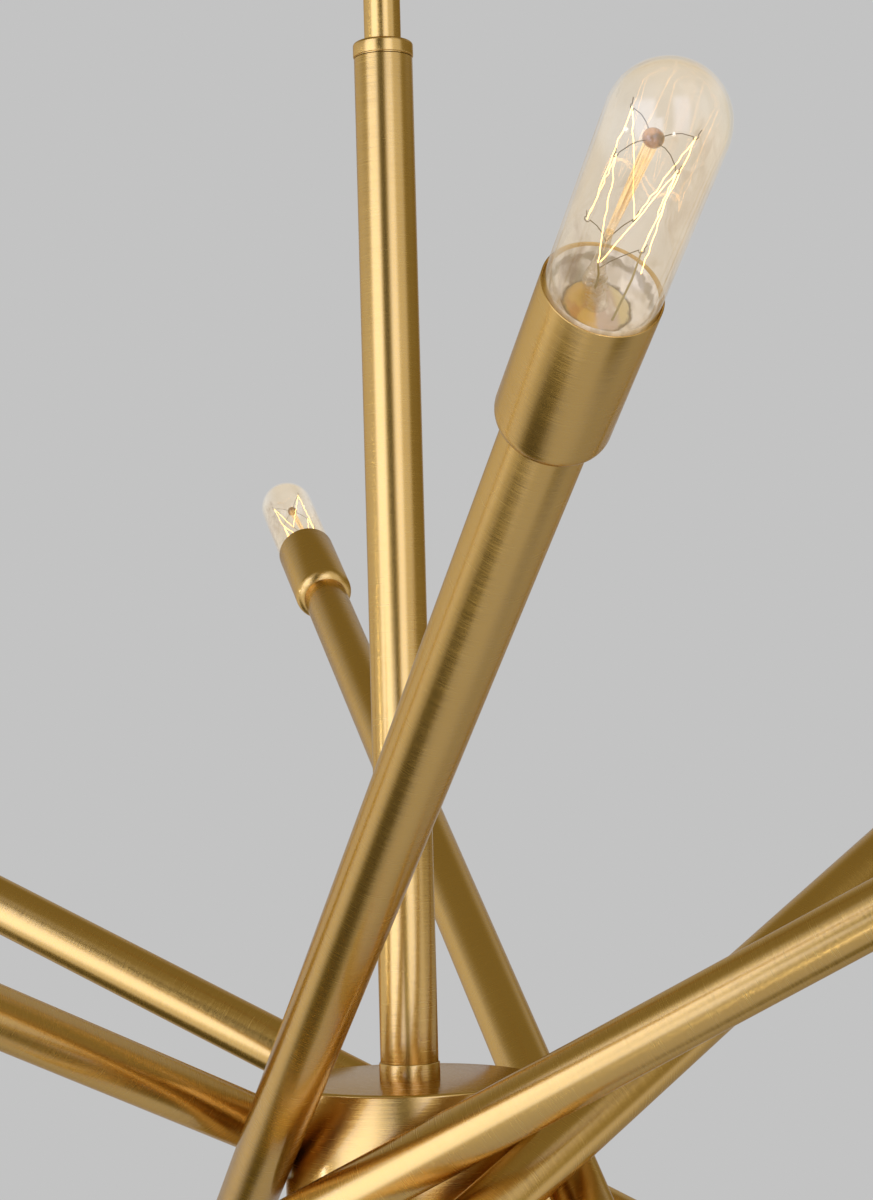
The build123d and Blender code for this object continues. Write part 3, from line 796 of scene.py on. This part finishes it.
@dataclass(frozen=True)
class SealGlass:
    """Foot of the glass stem: amber on one side, rosy on the other, in a pale collar, under a faint painted
    glow.
    """

    amber: Color = (0.52, 0.30, 0.05, 1.0)
    orange: Color = (0.42, 0.17, 0.03, 1.0)
    rosy: Color = (0.42, 0.32, 0.27, 1.0)
    straw: Color = (0.54, 0.44, 0.22, 1.0)
    # Dark of a painted reflection ring round the middle, also used for painted shade near the rim.
    painted_dark: Color = (0.09, 0.07, 0.055, 1.0)
    cream: Color = (0.50, 0.47, 0.42, 1.0)
    pale: Color = (0.76, 0.74, 0.70, 1.0)
    # Colour of a dark patch at one place on the collar.
    patch_dark: Color = (0.12, 0.11, 0.10, 1.0)
    dark_ring_radius: float = 9.1 * MM
    dark_ring_width: float = 0.8 * MM
    ring_drift: float = 2.4 * MM
    patch_place: Pair = (4.2 * MM, -10.0 * MM)
    patch_zone: Pair = (1.0 * MM, 5.0 * MM)
    patch_drift: float = 4.0 * MM
    patch_share: float = 0.85
    cloud_scale: float = 300.0
    flow_scale: float = 130.0
    flow_stretch: float = 2.0
    side_drift: float = 3.0 * MM
    side_zone: Pair = (0.4 * MM, 2.4 * MM)
    orange_zone: Pair = (0.5, 0.66)
    straw_zone: Pair = (3.5 * MM, 6.0 * MM)
    pale_zone: Pair = (0.55, 0.75)
    collar_zone: Pair = (0.38, 0.6)
    # Band of painted shade near the rim, in the gap between the glass and the cup.
    rim_shade_rise: Pair = (12.9 * MM, 13.6 * MM)
    rim_shade_fall: Pair = (14.0 * MM, 14.5 * MM)
    rim_shade_share: float = 0.7
    roughness: float = 0.12
    coat: float = 0.6
    # Strength of the painted glow.
    glow: float = 0.2

    def on(self, axis: Axis, name: str) -> Material:
        """Foot glass on a bulb's axis.

        Args:
            axis: the bulb's axis.
            name: name of the material.

        Returns:
            The material.
        """
        material, shade = new_shade(name)
        x, y, z = shade.split(axis_space(shade, axis))
        reach = (x * x + y * y) ** 0.5
        cloud = shade.noise(shade.spread(x, y, z), self.cloud_scale, detail=3.0) - 0.5
        flow = shade.noise(shade.spread(x * self.flow_stretch, y, z), self.flow_scale)
        across = (x + cloud * self.side_drift).smooth(*self.side_zone)
        amber = shade.mix(flow.smooth(*self.orange_zone), self.amber, self.orange)
        other = shade.mix((0.0 - x).smooth(*self.straw_zone), self.rosy, self.straw)
        other = shade.mix(flow.smooth(*self.pale_zone), other, self.pale)
        middle = shade.mix(across, other, amber)
        edge = reach + cloud * self.ring_drift
        # Painted reflection: a dark ring between the amber and rosy middle and the collar, where the cup and
        # the glass's curved bottom reflect.
        outside = edge.smooth(self.dark_ring_radius, self.dark_ring_radius + self.dark_ring_width)
        inside = 1.0 - edge.smooth(self.dark_ring_radius - self.dark_ring_width, self.dark_ring_radius)
        collar = shade.mix(flow.smooth(*self.collar_zone), self.cream, self.pale)
        # A dark patch at one place on the collar.
        aside = x - self.patch_place[0]
        away = y - self.patch_place[1]
        far = (aside * aside + away * away) ** 0.5 + cloud * self.patch_drift
        patch = 1.0 - far.smooth(*self.patch_zone)
        collar = shade.mix(patch * self.patch_share, collar, self.patch_dark)
        # Painted shade: a dark band near the rim, in the gap between the glass and the cup.
        rim_shade = edge.smooth(*self.rim_shade_rise) * (1.0 - edge.smooth(*self.rim_shade_fall))
        collar = shade.mix(rim_shade * self.rim_shade_share, collar, self.painted_dark)
        color = shade.mix(outside, shade.mix(inside, self.painted_dark, middle), collar)
        # The foot's emission is a faint painted glow of the filament's light.
        shade.surface(shade.principled({
            "Base Color": color,
            "Roughness": self.roughness,
            "Coat Weight": self.coat,
            "Emission Color": color,
            "Emission Strength": self.glow,
        }))
        return material


# Sub-assemblies


@dataclass
class Stem:
    """Upper and lower stem with the ring between them and the collar at the foot."""

    brass: Material
    wall: float = 1.2 * MM
    end_round: float = 0.3 * MM
    ring_round: float = 1.4 * MM
    ring_height: float = 6.1 * MM
    ring_inset: float = 0.25 * MM
    groove_depth: float = 0.12 * MM
    groove_height: float = 0.4 * MM
    collar_round: float = 0.5 * MM
    collar_height: float = 7.4 * MM
    bore_gap: float = 0.1 * MM

    def tube(self, name: str, node: str) -> None:
        """Builds a plain tube in place of a node."""
        section = tube_section(*UPRIGHT.extent(node), self.wall, self.end_round)
        make_brass(name, section, UPRIGHT, self.brass, node)

    def ring(self) -> None:
        """Builds the ring where the thin stem enters the thick one, with its groove."""
        radius, _, high = UPRIGHT.extent("stem_top_ring")
        radius -= self.ring_inset
        bore = UPRIGHT.extent("upper_stem")[0] + self.bore_gap
        waist = UPRIGHT.extent("lower_stem")[0] - self.groove_depth
        low = high - self.ring_height
        foot = low - self.groove_height
        lip = self.end_round
        edge = self.ring_round
        section = Lathe(bore, foot).line(waist, foot).line(waist, low)
        section.line(radius - lip, low).arc(radius - lip, low + lip, 90, steps=3)
        section.line(radius, high - edge).arc(radius - edge, high - edge, 90).line(bore, high).close()
        make_brass("top_ring", section, UPRIGHT, self.brass, "stem_top_ring")

    def collar(self) -> None:
        """Builds the collar that the thick stem stands in."""
        radius, low, _ = UPRIGHT.extent("stem_foot_collar")
        bore = UPRIGHT.extent("lower_stem")[0] + self.bore_gap
        high = low + self.collar_height
        edge = self.collar_round
        section = Lathe(bore, low).line(radius, low).line(radius, high - edge)
        section.arc(radius - edge, high - edge, 90, steps=4).line(bore, high).close()
        make_brass("foot_collar", section, UPRIGHT, self.brass, "stem_foot_collar")

    def build(self) -> None:
        """Builds the whole stem."""
        self.tube("thin_stem", "upper_stem")
        self.tube("thick_stem", "lower_stem")
        self.ring()
        self.collar()


@dataclass
class Hub:
    """Drum between the arms, with its cover and finial."""

    brass: Material
    wall: float = 1.5 * MM
    edge: float = 1.4 * MM
    bore: float = 6.4 * MM
    finial_round: float = 7.5 * MM

    def build(self) -> None:
        """Builds the drum, the cover under it and the finial."""
        radius, low, high = UPRIGHT.extent("hub_drum")
        inner = radius - self.wall
        drum = Lathe(self.bore, high, LARGE_SEGMENTS).line(radius - self.edge, high)
        drum.arc(radius - self.edge, high - self.edge, -90).line(radius, low).line(inner, low)
        drum.line(inner, high - self.wall).line(self.bore, high - self.wall).close()
        make_brass("drum", drum, UPRIGHT, self.brass, "hub_drum")
        bottom = UPRIGHT.extent("hub_bottom_cover")[1]
        cover = Lathe(self.bore, bottom, LARGE_SEGMENTS).line(radius - self.edge, bottom)
        cover.arc(radius - self.edge, bottom + self.edge, 90).line(radius, low).line(self.bore, low).close()
        make_brass("drum_cover", cover, UPRIGHT, self.brass, "hub_bottom_cover")
        radius, low, high = UPRIGHT.extent("hub_finial")
        turn = self.finial_round
        finial = Lathe(0.0, low).line(radius - turn, low).arc(radius - turn, low + turn, 90, steps=10)
        finial.line(radius, high).line(0.0, high)
        make_brass("finial", finial, UPRIGHT, self.brass, "hub_finial")


@dataclass
class Canopy:
    """Shallow pan against the ceiling."""

    brass: Material
    wall: float = 1.0 * MM
    edge: float = 4.0 * MM
    bore: float = 5.0 * MM

    def build(self) -> None:
        """Builds the pan."""
        radius, low, high = UPRIGHT.extent("canopy")
        inner = radius - self.wall
        middle = radius - self.edge
        bend = low + self.edge
        pan = Lathe(self.bore, low, LARGE_SEGMENTS).line(middle, low).arc(middle, bend, 90, steps=8)
        pan.line(radius, high).line(inner, high).line(inner, bend)
        pan.arc(middle, bend, -90, steps=8).line(self.bore, low + self.wall).close()
        make_brass("pan", pan, UPRIGHT, self.brass, "canopy", Body.CEILING)


@dataclass
class Arm:
    """One arm tube with its socket cup."""

    number: int
    brass: Material
    wall: float = 1.2 * MM
    end_round: float = 0.4 * MM
    cup_wall: float = 0.5 * MM
    cup_floor: float = 1.5 * MM
    shoulder: float = 6.0 * MM
    bore: float = 5.0 * MM

    def build(self) -> None:
        """Builds the tube and the cup."""
        number = self.number
        axis = arm_axis(number)
        radius, low, high = axis.extent(f"arm_{number}")
        step = radius - axis.extent(f"socket_cup_{number}")[0] + self.shoulder
        high += self.shoulder - math.sqrt(self.shoulder ** 2 - step ** 2) + self.end_round
        tube = tube_section(radius, low, high, self.wall, self.end_round)
        make_brass(f"arm_tube_{number}", tube, axis, self.brass, f"arm_{number}")
        radius, low, high = axis.extent(f"socket_cup_{number}")
        inner = radius - self.cup_wall
        turn = self.shoulder - self.cup_wall
        lip = self.cup_wall / 2
        floor = low + self.cup_floor
        cup = Lathe(self.bore, low, MEDIUM_SEGMENTS).line(radius - self.shoulder, low)
        cup.arc(radius - self.shoulder, low + self.shoulder, 90, steps=10).line(radius, high - lip)
        cup.arc(radius - lip, high - lip, 180, steps=6).line(inner, floor + turn)
        cup.arc(inner - turn, floor + turn, -90, steps=8).line(self.bore, floor).close()
        make_brass(f"cup_{number}", cup, axis, self.brass, f"socket_cup_{number}")


@dataclass
class Bulb:
    """One clear tubular bulb: envelope, glass stem, supports and filament.

    Its places, the foot's section and the pinch's radii are in millimetres, from the cup's rim.
    """

    number: int
    glass_wall: float = 0.8 * MM
    neck: float = 12.4 * MM
    neck_height: float = 12.6 * MM
    button_radius: float = 2.8 * MM
    button_flatness: float = 0.82
    button_place: Place = (1.9, -0.6, 51.8)
    rod_foot: Place = (3.4, -1.6, 17.0)
    rod_thin: float = 1.0 * MM
    rod_thick: float = 1.9 * MM
    rod_steps: int = 6
    rod_sink: float = 0.5
    pinch: Place = (3.2, -0.4, 3.0)
    press_base: Place = (1.0, 0.0, -6.0)
    press_radii: tuple[float, ...] = (4.2, 3.2, 2.9, 3.3, 2.0, 1.4, 1.1)
    press_below: tuple[float, ...] = (0.0, 0.45, 0.8)
    press_above: tuple[float, ...] = (0.0, 0.35, 0.7)
    press_tip: float = 2.0 * MM
    lumps: int = 7
    lump_seed: int = 70
    lump_reach: float = 2.6 * MM
    lump_spread: tuple[Pair, Pair, Pair] = ((-1.4, 0.8), (-1.0, 1.0), (-1.2, 1.0))
    lump_sizes: Pair = (0.9 * MM, 1.7 * MM)
    lump_stretch: tuple[Pair, Pair] = ((0.6, 1.2), (0.8, 1.6))
    foot_section: tuple[Pair, ...] = (
        (14.9, 0.2), (14.5, -1.2), (13.4, -3.2), (11.6, -5.0), (9.6, -6.0), (9.1, -6.5), (8.6, -6.0),
        (6.0, -5.2), (3.0, -4.6), (0.0, -4.4), (0.0, -9.6), (9.0, -9.6), (12.4, -8.4), (14.3, -5.0),
        (14.9, -0.6),
    )
    wire: float = 0.13 * MM
    wire_rise: float = 1.2 * MM
    wire_bend: float = 0.55
    hook_curl: float = 0.8 * MM
    hook_start: float = -150.0
    hook_turn: float = 35.0
    hook_steps: int = 7
    hook_tail: Pair = (1.6 * MM, 0.5 * MM)
    button_root: float = 0.8
    high_root: float = 0.1
    low_root: float = 0.75
    high_hook: float = 16.0 * MM
    lead_feet: tuple[Place, Place] = ((2.6, 0.8, 1.0), (-2.6, 6.2, -5.0))
    lead_bow: Place = (-0.5, 0.2, 0.0)
    lead_bend: float = 0.6
    lead_radii: tuple[float, ...] = (0.34 * MM, 0.30 * MM, 0.22 * MM)
    glow_wire: float = 0.125 * MM
    crinkle: float = 0.28 * MM
    crinkles: int = 14
    crinkle_seed: int = 40
    slack_rise: float = 3.0
    last_strand: Place = (-0.6, 0.0, 0.3)
    upper_hooks: tuple[Place, ...] = (
        (12.0, 3.9, 50.4),
        (4.2, -12.6, 50.4),
        (-10.2, -2.9, 50.4),
        (-2.6, 8.7, 50.4),
    )
    lower_hooks: tuple[Place, ...] = (
        (5.4, 2.4, 12.0),
        (8.0, -6.7, 18.0),
        (-5.4, -8.2, 17.0),
        (-6.4, 0.0, 14.0),
        (-6.5, 4.0, 10.0),
    )

    @property
    def axis(self) -> Axis:
        """The bulb's axis, with zero at the cup's rim."""
        return rim_axis(self.number)

    @property
    def body(self) -> str:
        """The body that the bulb's pieces ride on."""
        return f"bulb_{self.number}"

    def upper_points(self) -> list[Vector]:
        """Places of the upper hooks, round the button."""
        return [at_mm(place) for place in self.upper_hooks]

    def lower_points(self) -> list[Vector]:
        """Places of the lower hooks and of the two leads' ends."""
        return [at_mm(place) for place in self.lower_hooks]

    def piece(self, name: str, mesh: Mesh, finish: Material, nodes: Sequence[str] = ()) -> None:
        """Makes one of the pieces inside the glass."""
        bmesh.ops.recalc_face_normals(mesh, faces=mesh.faces)
        make_piece(f"{name}_{self.number}", mesh, self.axis, finish, self.body, nodes)

    def envelope(self, glass: Material) -> None:
        """Builds the glass with its neck, shoulder and dome.

        Args:
            glass: its material.
        """
        radius, low, high = self.axis.extent(f"bulb_glass_{self.number}")
        wall = self.glass_wall
        rise = radius - self.neck
        half = self.neck_height / 2
        bend = (half * half + (rise / 2) ** 2) / rise
        sweep = math.degrees(math.asin(half / bend))
        middle = low + half
        top = low + self.neck_height
        dome = high - radius
        section = Lathe(self.neck, low, MEDIUM_SEGMENTS)
        section.arc(self.neck + bend, low, -sweep, steps=8).arc(radius - bend, top, sweep, steps=8)
        section.line(radius, dome).arc(0.0, dome, 90, steps=32)
        section.line(0.0, high - wall).arc(0.0, dome, -90, steps=32).line(radius - wall, top)
        section.line(radius - wall - rise / 2, middle).line(self.neck - wall, low).close()
        make_piece(
            f"bulb_envelope_{self.number}", section.spin(), self.axis, glass, self.body,
            [f"bulb_glass_{self.number}"],
        )

    def glass_stem(self, rod: Material) -> None:
        """Builds the tapering glass rod, from the pinch up to the button.

        Args:
            rod: its material.
        """
        mesh = bmesh.new()
        top = at_mm(self.button_place) - UP * self.rod_sink * self.button_radius
        foot = at_mm(self.rod_foot)
        spread = self.rod_thick - self.rod_thin
        shares = [step / self.rod_steps for step in range(self.rod_steps + 1)]
        points = [foot.lerp(top, share) for share in shares]
        draw_wire(mesh, points, [self.rod_thin + spread * share for share in shares], sides=24)
        self.piece("glass_rod", mesh, rod, [f"bulb_works_{self.number}"])

    def button(self, bead: Material) -> None:
        """Builds the bead at the rod's top.

        Args:
            bead: its material.
        """
        mesh = bmesh.new()
        bmesh.ops.create_uvsphere(mesh, u_segments=40, v_segments=24, radius=self.button_radius)
        flatten = Matrix.Diagonal((1.0, 1.0, self.button_flatness, 1.0))
        place = Matrix.Translation(at_mm(self.button_place))
        bmesh.ops.transform(mesh, matrix=place @ flatten, verts=mesh.verts)
        self.piece("button", mesh, bead)

    def press(self, glass: Material) -> None:
        """Builds the pinched glass between the foot and the rod.

        Args:
            glass: its material.
        """
        mesh = bmesh.new()
        foot = at_mm(self.rod_foot)
        pinch = at_mm(self.pinch)
        base = at_mm(self.press_base)
        points = [base.lerp(pinch, share) for share in self.press_below]
        points += [pinch.lerp(foot, share) for share in self.press_above]
        points.append(foot + UP * self.press_tip)
        draw_wire(mesh, points, [radius * MM for radius in self.press_radii], sides=24)
        draw = random.Random(self.lump_seed + self.number)
        for _ in range(self.lumps):
            way = Vector([draw.uniform(*span) for span in self.lump_spread])
            place = Matrix.Translation(pinch + way * self.lump_reach)
            size = draw.uniform(*self.lump_sizes)
            wide, tall = [draw.uniform(*span) for span in self.lump_stretch]
            stretch = Matrix.Diagonal((1.0, wide, tall, 1.0))
            bmesh.ops.create_icosphere(mesh, subdivisions=3, radius=size, matrix=place @ stretch)
        self.piece("stem_pinch", mesh, glass)

    def foot(self, seal: Material) -> None:
        """Builds the foot of the glass stem and the pale collar round it, in the bulb's neck.

        Args:
            seal: its material.
        """
        first, *others = self.foot_section
        section = Lathe(first[0] * MM, first[1] * MM)
        for radius, height in others:
            section.line(radius * MM, height * MM)
        self.piece("stem_foot", section.close().spin(), seal)

    def support(self, mesh: Mesh, start: Vector, hook: Vector) -> None:
        """Draws one support wire that ends in an open hook.

        Args:
            mesh: mesh that takes the wire.
            start: where the wire leaves the glass.
            hook: where the filament hangs in it.
        """
        way = hook - start
        level = Vector((way.x, way.y, 0.0)).normalized()
        curl = self.hook_curl
        rise = UP * self.wire_rise
        bend = start.lerp(hook, self.wire_bend) + rise
        points = [start, start.lerp(bend, 0.5) + rise / 3, bend, hook - level * curl + rise / 4]
        for step in range(self.hook_steps):
            turn = math.radians(self.hook_start + self.hook_turn * step)
            points.append(hook + (level * math.cos(turn) + UP * math.sin(turn)) * curl)
        up, out = self.hook_tail
        points.append(points[-1] + UP * up + level * out)
        draw_wire(mesh, points, [self.wire] * len(points), sides=6)

    def supports(self, steel: Material) -> None:
        """Builds the support wires of the button and of the rod.

        Args:
            steel: their material.
        """
        mesh = bmesh.new()
        center = at_mm(self.button_place)
        foot = at_mm(self.rod_foot)
        pinch = at_mm(self.pinch)
        for hook in self.upper_points():
            way = Vector((hook.x - center.x, hook.y - center.y, 0.0)).normalized()
            self.support(mesh, center + way * self.button_radius * self.button_root, hook)
        for hook in self.lower_points()[1:4]:
            share = self.high_root if hook.z > self.high_hook else self.low_root
            self.support(mesh, foot.lerp(pinch, share), hook)
        self.piece("supports", mesh, steel)

    def leads(self, olive: Material) -> None:
        """Builds the two lead wires that come up out of the foot.

        Args:
            olive: their material.
        """
        mesh = bmesh.new()
        lower = self.lower_points()
        for end, place in zip((lower[0], lower[3]), self.lead_feet):
            start = at_mm(place)
            middle = start.lerp(end, self.lead_bend) + at_mm(self.lead_bow)
            draw_wire(mesh, [start, middle, end], list(self.lead_radii), sides=10)
        self.piece("leads", mesh, olive)

    def filament(self, glow: Material) -> None:
        """Builds the crinkled strands that go up and down between the hooks.

        Args:
            glow: their material.
        """
        mesh = bmesh.new()
        draw = random.Random(self.crinkle_seed + self.number)
        upper = self.upper_points()
        lower = self.lower_points()
        pairs = [
            (lower[0], upper[0]), (upper[0], lower[1]), (lower[1], upper[1]), (upper[1], lower[2]),
            (lower[2], upper[2]), (upper[2], lower[3]), (lower[3], upper[3]), (upper[3], lower[4]),
            (upper[3], lower[0] + at_mm(self.last_strand)),
        ]
        for start, end in pairs:
            points = []
            for place in range(self.crinkles + 1):
                share = place / self.crinkles
                slack = min(1.0, self.slack_rise * math.sin(math.pi * share))
                bow = Vector((draw.uniform(-1, 1), draw.uniform(-1, 1), 0.0)) * self.crinkle * slack
                points.append(start.lerp(end, share) + bow)
            draw_wire(mesh, points, [self.glow_wire] * len(points))
        self.piece("filament", mesh, glow)


# Hardware that keeps its CAD shape

HARDWARE = (
    (
        PlainFinish("zinc_plate", (0.42, 0.43, 0.44, 1.0), (0.62, 0.62, 0.60, 1.0), 1.0, 0.32),
        ["mounting_strap", "canopy_studs", "swivel_nipple", "nipple_locknut", "hub_rod", "hub_locknut",
         "arm_bolts", "arm_bolt_nuts", "arm_end_plugs", "cup_nipples"],
    ),
    (
        PlainFinish("earth_screw_green", (0.02, 0.16, 0.05, 1.0), (0.05, 0.28, 0.10, 1.0), 0.4, 0.4),
        ["ground_screw"],
    ),
    (
        PlainFinish("black_moulding", (0.012, 0.012, 0.012, 1.0), (0.035, 0.033, 0.03, 1.0), 0.0, 0.45),
        ["lampholders"],
    ),
    (
        PlainFinish("white_moulding", (0.62, 0.61, 0.58, 1.0), (0.78, 0.77, 0.74, 1.0), 0.0, 0.45),
        ["terminal_ring"],
    ),
    (
        PlainFinish("plain_brass", (0.46, 0.30, 0.09, 1.0), (0.60, 0.42, 0.15, 1.0), 1.0, 0.3),
        ["socket_shells", "socket_contacts"],
    ),
    (
        PlainFinish("cord_sleeve", (0.30, 0.20, 0.07, 1.0), (0.44, 0.32, 0.13, 1.0), 0.0, 0.6),
        ["lamp_cords"],
    ),
    (
        PlainFinish("rolled_base", (0.46, 0.42, 0.32, 1.0), (0.62, 0.58, 0.48, 1.0), 1.0, 0.28),
        [f"bulb_base_{number}" for number in ARM_NUMBERS],
    ),
)
SUPPORT_WIRE = PlainFinish("support_wire", (0.006, 0.005, 0.004, 1.0), (0.022, 0.018, 0.014, 1.0), 0.0, 0.5)
LEAD_WIRE = PlainFinish("lead_wire", (0.20, 0.15, 0.05, 1.0), (0.38, 0.31, 0.12, 1.0), 0.6, 0.3)


def dress(nodes: Sequence[str], material: Material) -> None:
    """Gives CAD nodes a material.

    Args:
        nodes: names of the nodes, which keep their shape.
        material: the material.
    """
    for name in nodes:
        slots = frame["nodes"][name].data.materials
        slots.clear()
        slots.append(material)
        LOG.info("%s keeps its shape, in %s", name, material.name)


# Studio


class Tint(Enum):
    """Colours of the studio's light."""

    COOL = (1.0, 1.06, 1.30)
    PLAIN = (1.0, 0.98, 0.92)
    WARM = (1.0, 0.82, 0.36)

    def at(self, level: float) -> Color:
        """This colour at a light level."""
        red, green, blue = self.value
        return (red * level, green * level, blue * level, 1.0)


@dataclass(frozen=True)
class Panel:
    """A soft-edged patch of studio light, by its heading and height in degrees.

    A heading of 0 is behind the camera and grows to its right.
    """

    left: float
    right: float
    low: float
    high: float
    level: float
    tint: Tint = Tint.PLAIN
    edge: float = 8.0

    def share(self, heading: Signal, height: Signal) -> Signal:
        """How much of a direction lies on this panel.

        Args:
            heading: the direction's heading.
            height: the direction's height.

        Returns:
            A share from 0 to 1.
        """
        started = heading.smooth(self.left - self.edge, self.left + self.edge)
        ended = heading.smooth(self.right - self.edge, self.right + self.edge)
        raised = height.smooth(self.low - self.edge, self.low + self.edge)
        passed = height.smooth(self.high - self.edge, self.high + self.edge)
        return started * (1.0 - ended) * raised * (1.0 - passed)


def grey(level: float) -> Color:
    """A neutral colour."""
    return (level, level, level, 1.0)


@dataclass(frozen=True)
class Studio:
    """Plain backdrop, soft light panels and the camera of the photograph."""

    backdrop: float = 0.546
    room: float = 0.28
    ceiling: float = 0.27
    ground: float = 0.55
    backdrop_zone: Pair = (-0.05, 0.6)
    ceiling_zone: Pair = (0.45, 0.8)
    ground_zone: Pair = (0.3, 0.75)
    panels: tuple[Panel, ...] = (
        Panel(-88.0, -30.0, -70.0, -24.0, 0.90),
        Panel(-30.0, 62.0, -70.0, -22.0, 0.55),
        Panel(62.0, 118.0, -72.0, -44.0, 0.12, Tint.WARM),
        Panel(62.0, 110.0, -38.0, -10.0, 0.75),
        Panel(118.0, 168.0, -58.0, -18.0, 0.44),
        Panel(-155.0, -84.0, -66.0, -37.0, 0.07, Tint.WARM, 7.0),
        Panel(-152.0, -74.0, -6.0, 22.0, 0.76),
        Panel(-150.0, -114.0, -32.0, -6.0, 0.90),
        Panel(-114.0, -78.0, -24.0, -6.0, 0.90),
        Panel(-62.0, -16.0, 34.0, 58.0, 0.55),
        Panel(25.0, 70.0, 34.0, 58.0, 0.75),
        Panel(-72.0, -27.0, -30.0, 32.0, 1.95, Tint.COOL),
        Panel(6.0, 38.0, -28.0, 34.0, 1.65, Tint.COOL),
        Panel(38.0, 74.0, -24.0, 34.0, 0.85),
        Panel(76.0, 150.0, -8.0, 24.0, 0.28, Tint.WARM),
        Panel(-24.0, 0.0, -20.0, 36.0, 0.05, Tint.WARM, 5.0),
        Panel(-30.0, -14.0, -26.0, -2.0, 1.70, Tint.COOL, 5.0),
        Panel(-89.0, -85.0, -9.0, -5.0, 18.0, Tint.PLAIN, 3.0),
        Panel(4.0, 8.0, -33.0, -29.0, 18.0, Tint.PLAIN, 3.0),
    )
    focal_pixels: float = 2600.0
    frame_pixels: Pair = (873.0, 1200.0)
    middle_pixel: Pair = (402.5, 792.7)
    camera_distance: float = 1.1321
    camera_above_hub: float = 0.1457
    pitch: float = -1.06
    roll: float = -1.51
    sensor: float = 36.0
    near_clip: float = 0.05

    def world(self) -> None:
        """Builds the world: a pale backdrop behind the object, and light panels round the room before it."""
        world = bpy.data.worlds.new("studio")
        world.use_nodes = True
        bpy.context.scene.world = world
        shade = Shade(world.node_tree)
        way = shade.node("ShaderNodeTexCoord", None, None, "Generated")
        x, y, z = shade.split(way)
        heading = x.math("ARCTAN2", x, 0.0 - y) * math.degrees(1.0)
        height = z.math("ARCSINE", z) * math.degrees(1.0)
        backdrop = grey(self.backdrop)
        around = shade.mix(y.smooth(*self.backdrop_zone), Tint.WARM.at(self.room), backdrop)
        around = shade.mix(z.smooth(*self.ceiling_zone), around, Tint.WARM.at(self.ceiling))
        around = shade.mix((0.0 - z).smooth(*self.ground_zone), around, Tint.PLAIN.at(self.ground))
        for panel in self.panels:
            around = shade.mix(panel.share(heading, height), around, panel.tint.at(panel.level))
        rays = shade.node("ShaderNodeLightPath", None, None, "Is Camera Ray")
        direct = rays.math("MAXIMUM", rays, rays.output("Is Transmission Ray"))
        color = shade.mix(direct, around, backdrop)
        light = shade.node("ShaderNodeBackground", None, {"Color": color, "Strength": 1.0})
        shade.surface(light, "ShaderNodeOutputWorld")

    def camera(self) -> None:
        """Sets the camera at the photograph's place."""
        hub_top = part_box("hub_drum")[1].z
        data = bpy.data.cameras.new("camera")
        long_side = max(self.frame_pixels)
        data.sensor_width = self.sensor
        data.lens = self.focal_pixels / long_side * self.sensor
        data.shift_x = (self.frame_pixels[0] / 2 - self.middle_pixel[0]) / long_side
        data.shift_y = (self.middle_pixel[1] - self.frame_pixels[1] / 2) / long_side
        data.clip_start = self.near_clip
        camera = bpy.data.objects.new("camera", data)
        tilt = math.radians(self.pitch)
        forward = Vector((0.0, math.cos(tilt), math.sin(tilt)))
        level = Vector((1.0, 0.0, 0.0))
        upright = level.cross(forward)
        turn = math.radians(self.roll)
        right = level * math.cos(turn) + upright * math.sin(turn)
        above = upright * math.cos(turn) - level * math.sin(turn)
        place = Matrix.Translation((0.0, -self.camera_distance, hub_top + self.camera_above_hub))
        camera.matrix_world = place @ Matrix((right, above, -forward)).transposed().to_4x4()
        bpy.context.scene.collection.objects.link(camera)
        bpy.context.scene.camera = camera

    def build(self) -> None:
        """Builds the whole studio."""
        bpy.context.scene.view_settings.view_transform = "Standard"
        self.world()
        self.camera()


def main() -> None:
    """Builds the pieces in order."""
    logging.basicConfig(level=logging.INFO, format="%(message)s")
    Studio().build()
    brass = SatinBrass()
    upright_brass = brass.on(UPRIGHT, "upright_brass")
    Stem(upright_brass).build()
    Hub(upright_brass).build()
    Canopy(upright_brass).build()
    dress(["canopy_knobs", "swivel_yoke", "swivel_pin", "swivel_tongue", "arm_tail_caps"], upright_brass)
    for finish, nodes in HARDWARE:
        dress(nodes, finish.material())
    glow = Filament().material()
    steel = SUPPORT_WIRE.material()
    olive = LEAD_WIRE.material()
    bead = BeadGlass().material()
    pinched = PressGlass().material()
    for number in ARM_NUMBERS:
        Arm(number, brass.on(arm_axis(number), f"arm_brass_{number}")).build()
        bulb = Bulb(number)
        bulb.envelope(BulbGlass().on(bulb.axis, f"bulb_glass_finish_{number}"))
        bulb.glass_stem(AmberRod().on(bulb.axis, f"amber_rod_{number}"))
        bulb.button(bead)
        bulb.press(pinched)
        bulb.foot(SealGlass().on(bulb.axis, f"seal_glass_{number}"))
        bulb.supports(steel)
        bulb.leads(olive)
        bulb.filament(glow)


if __name__ == "__main__":
    main()
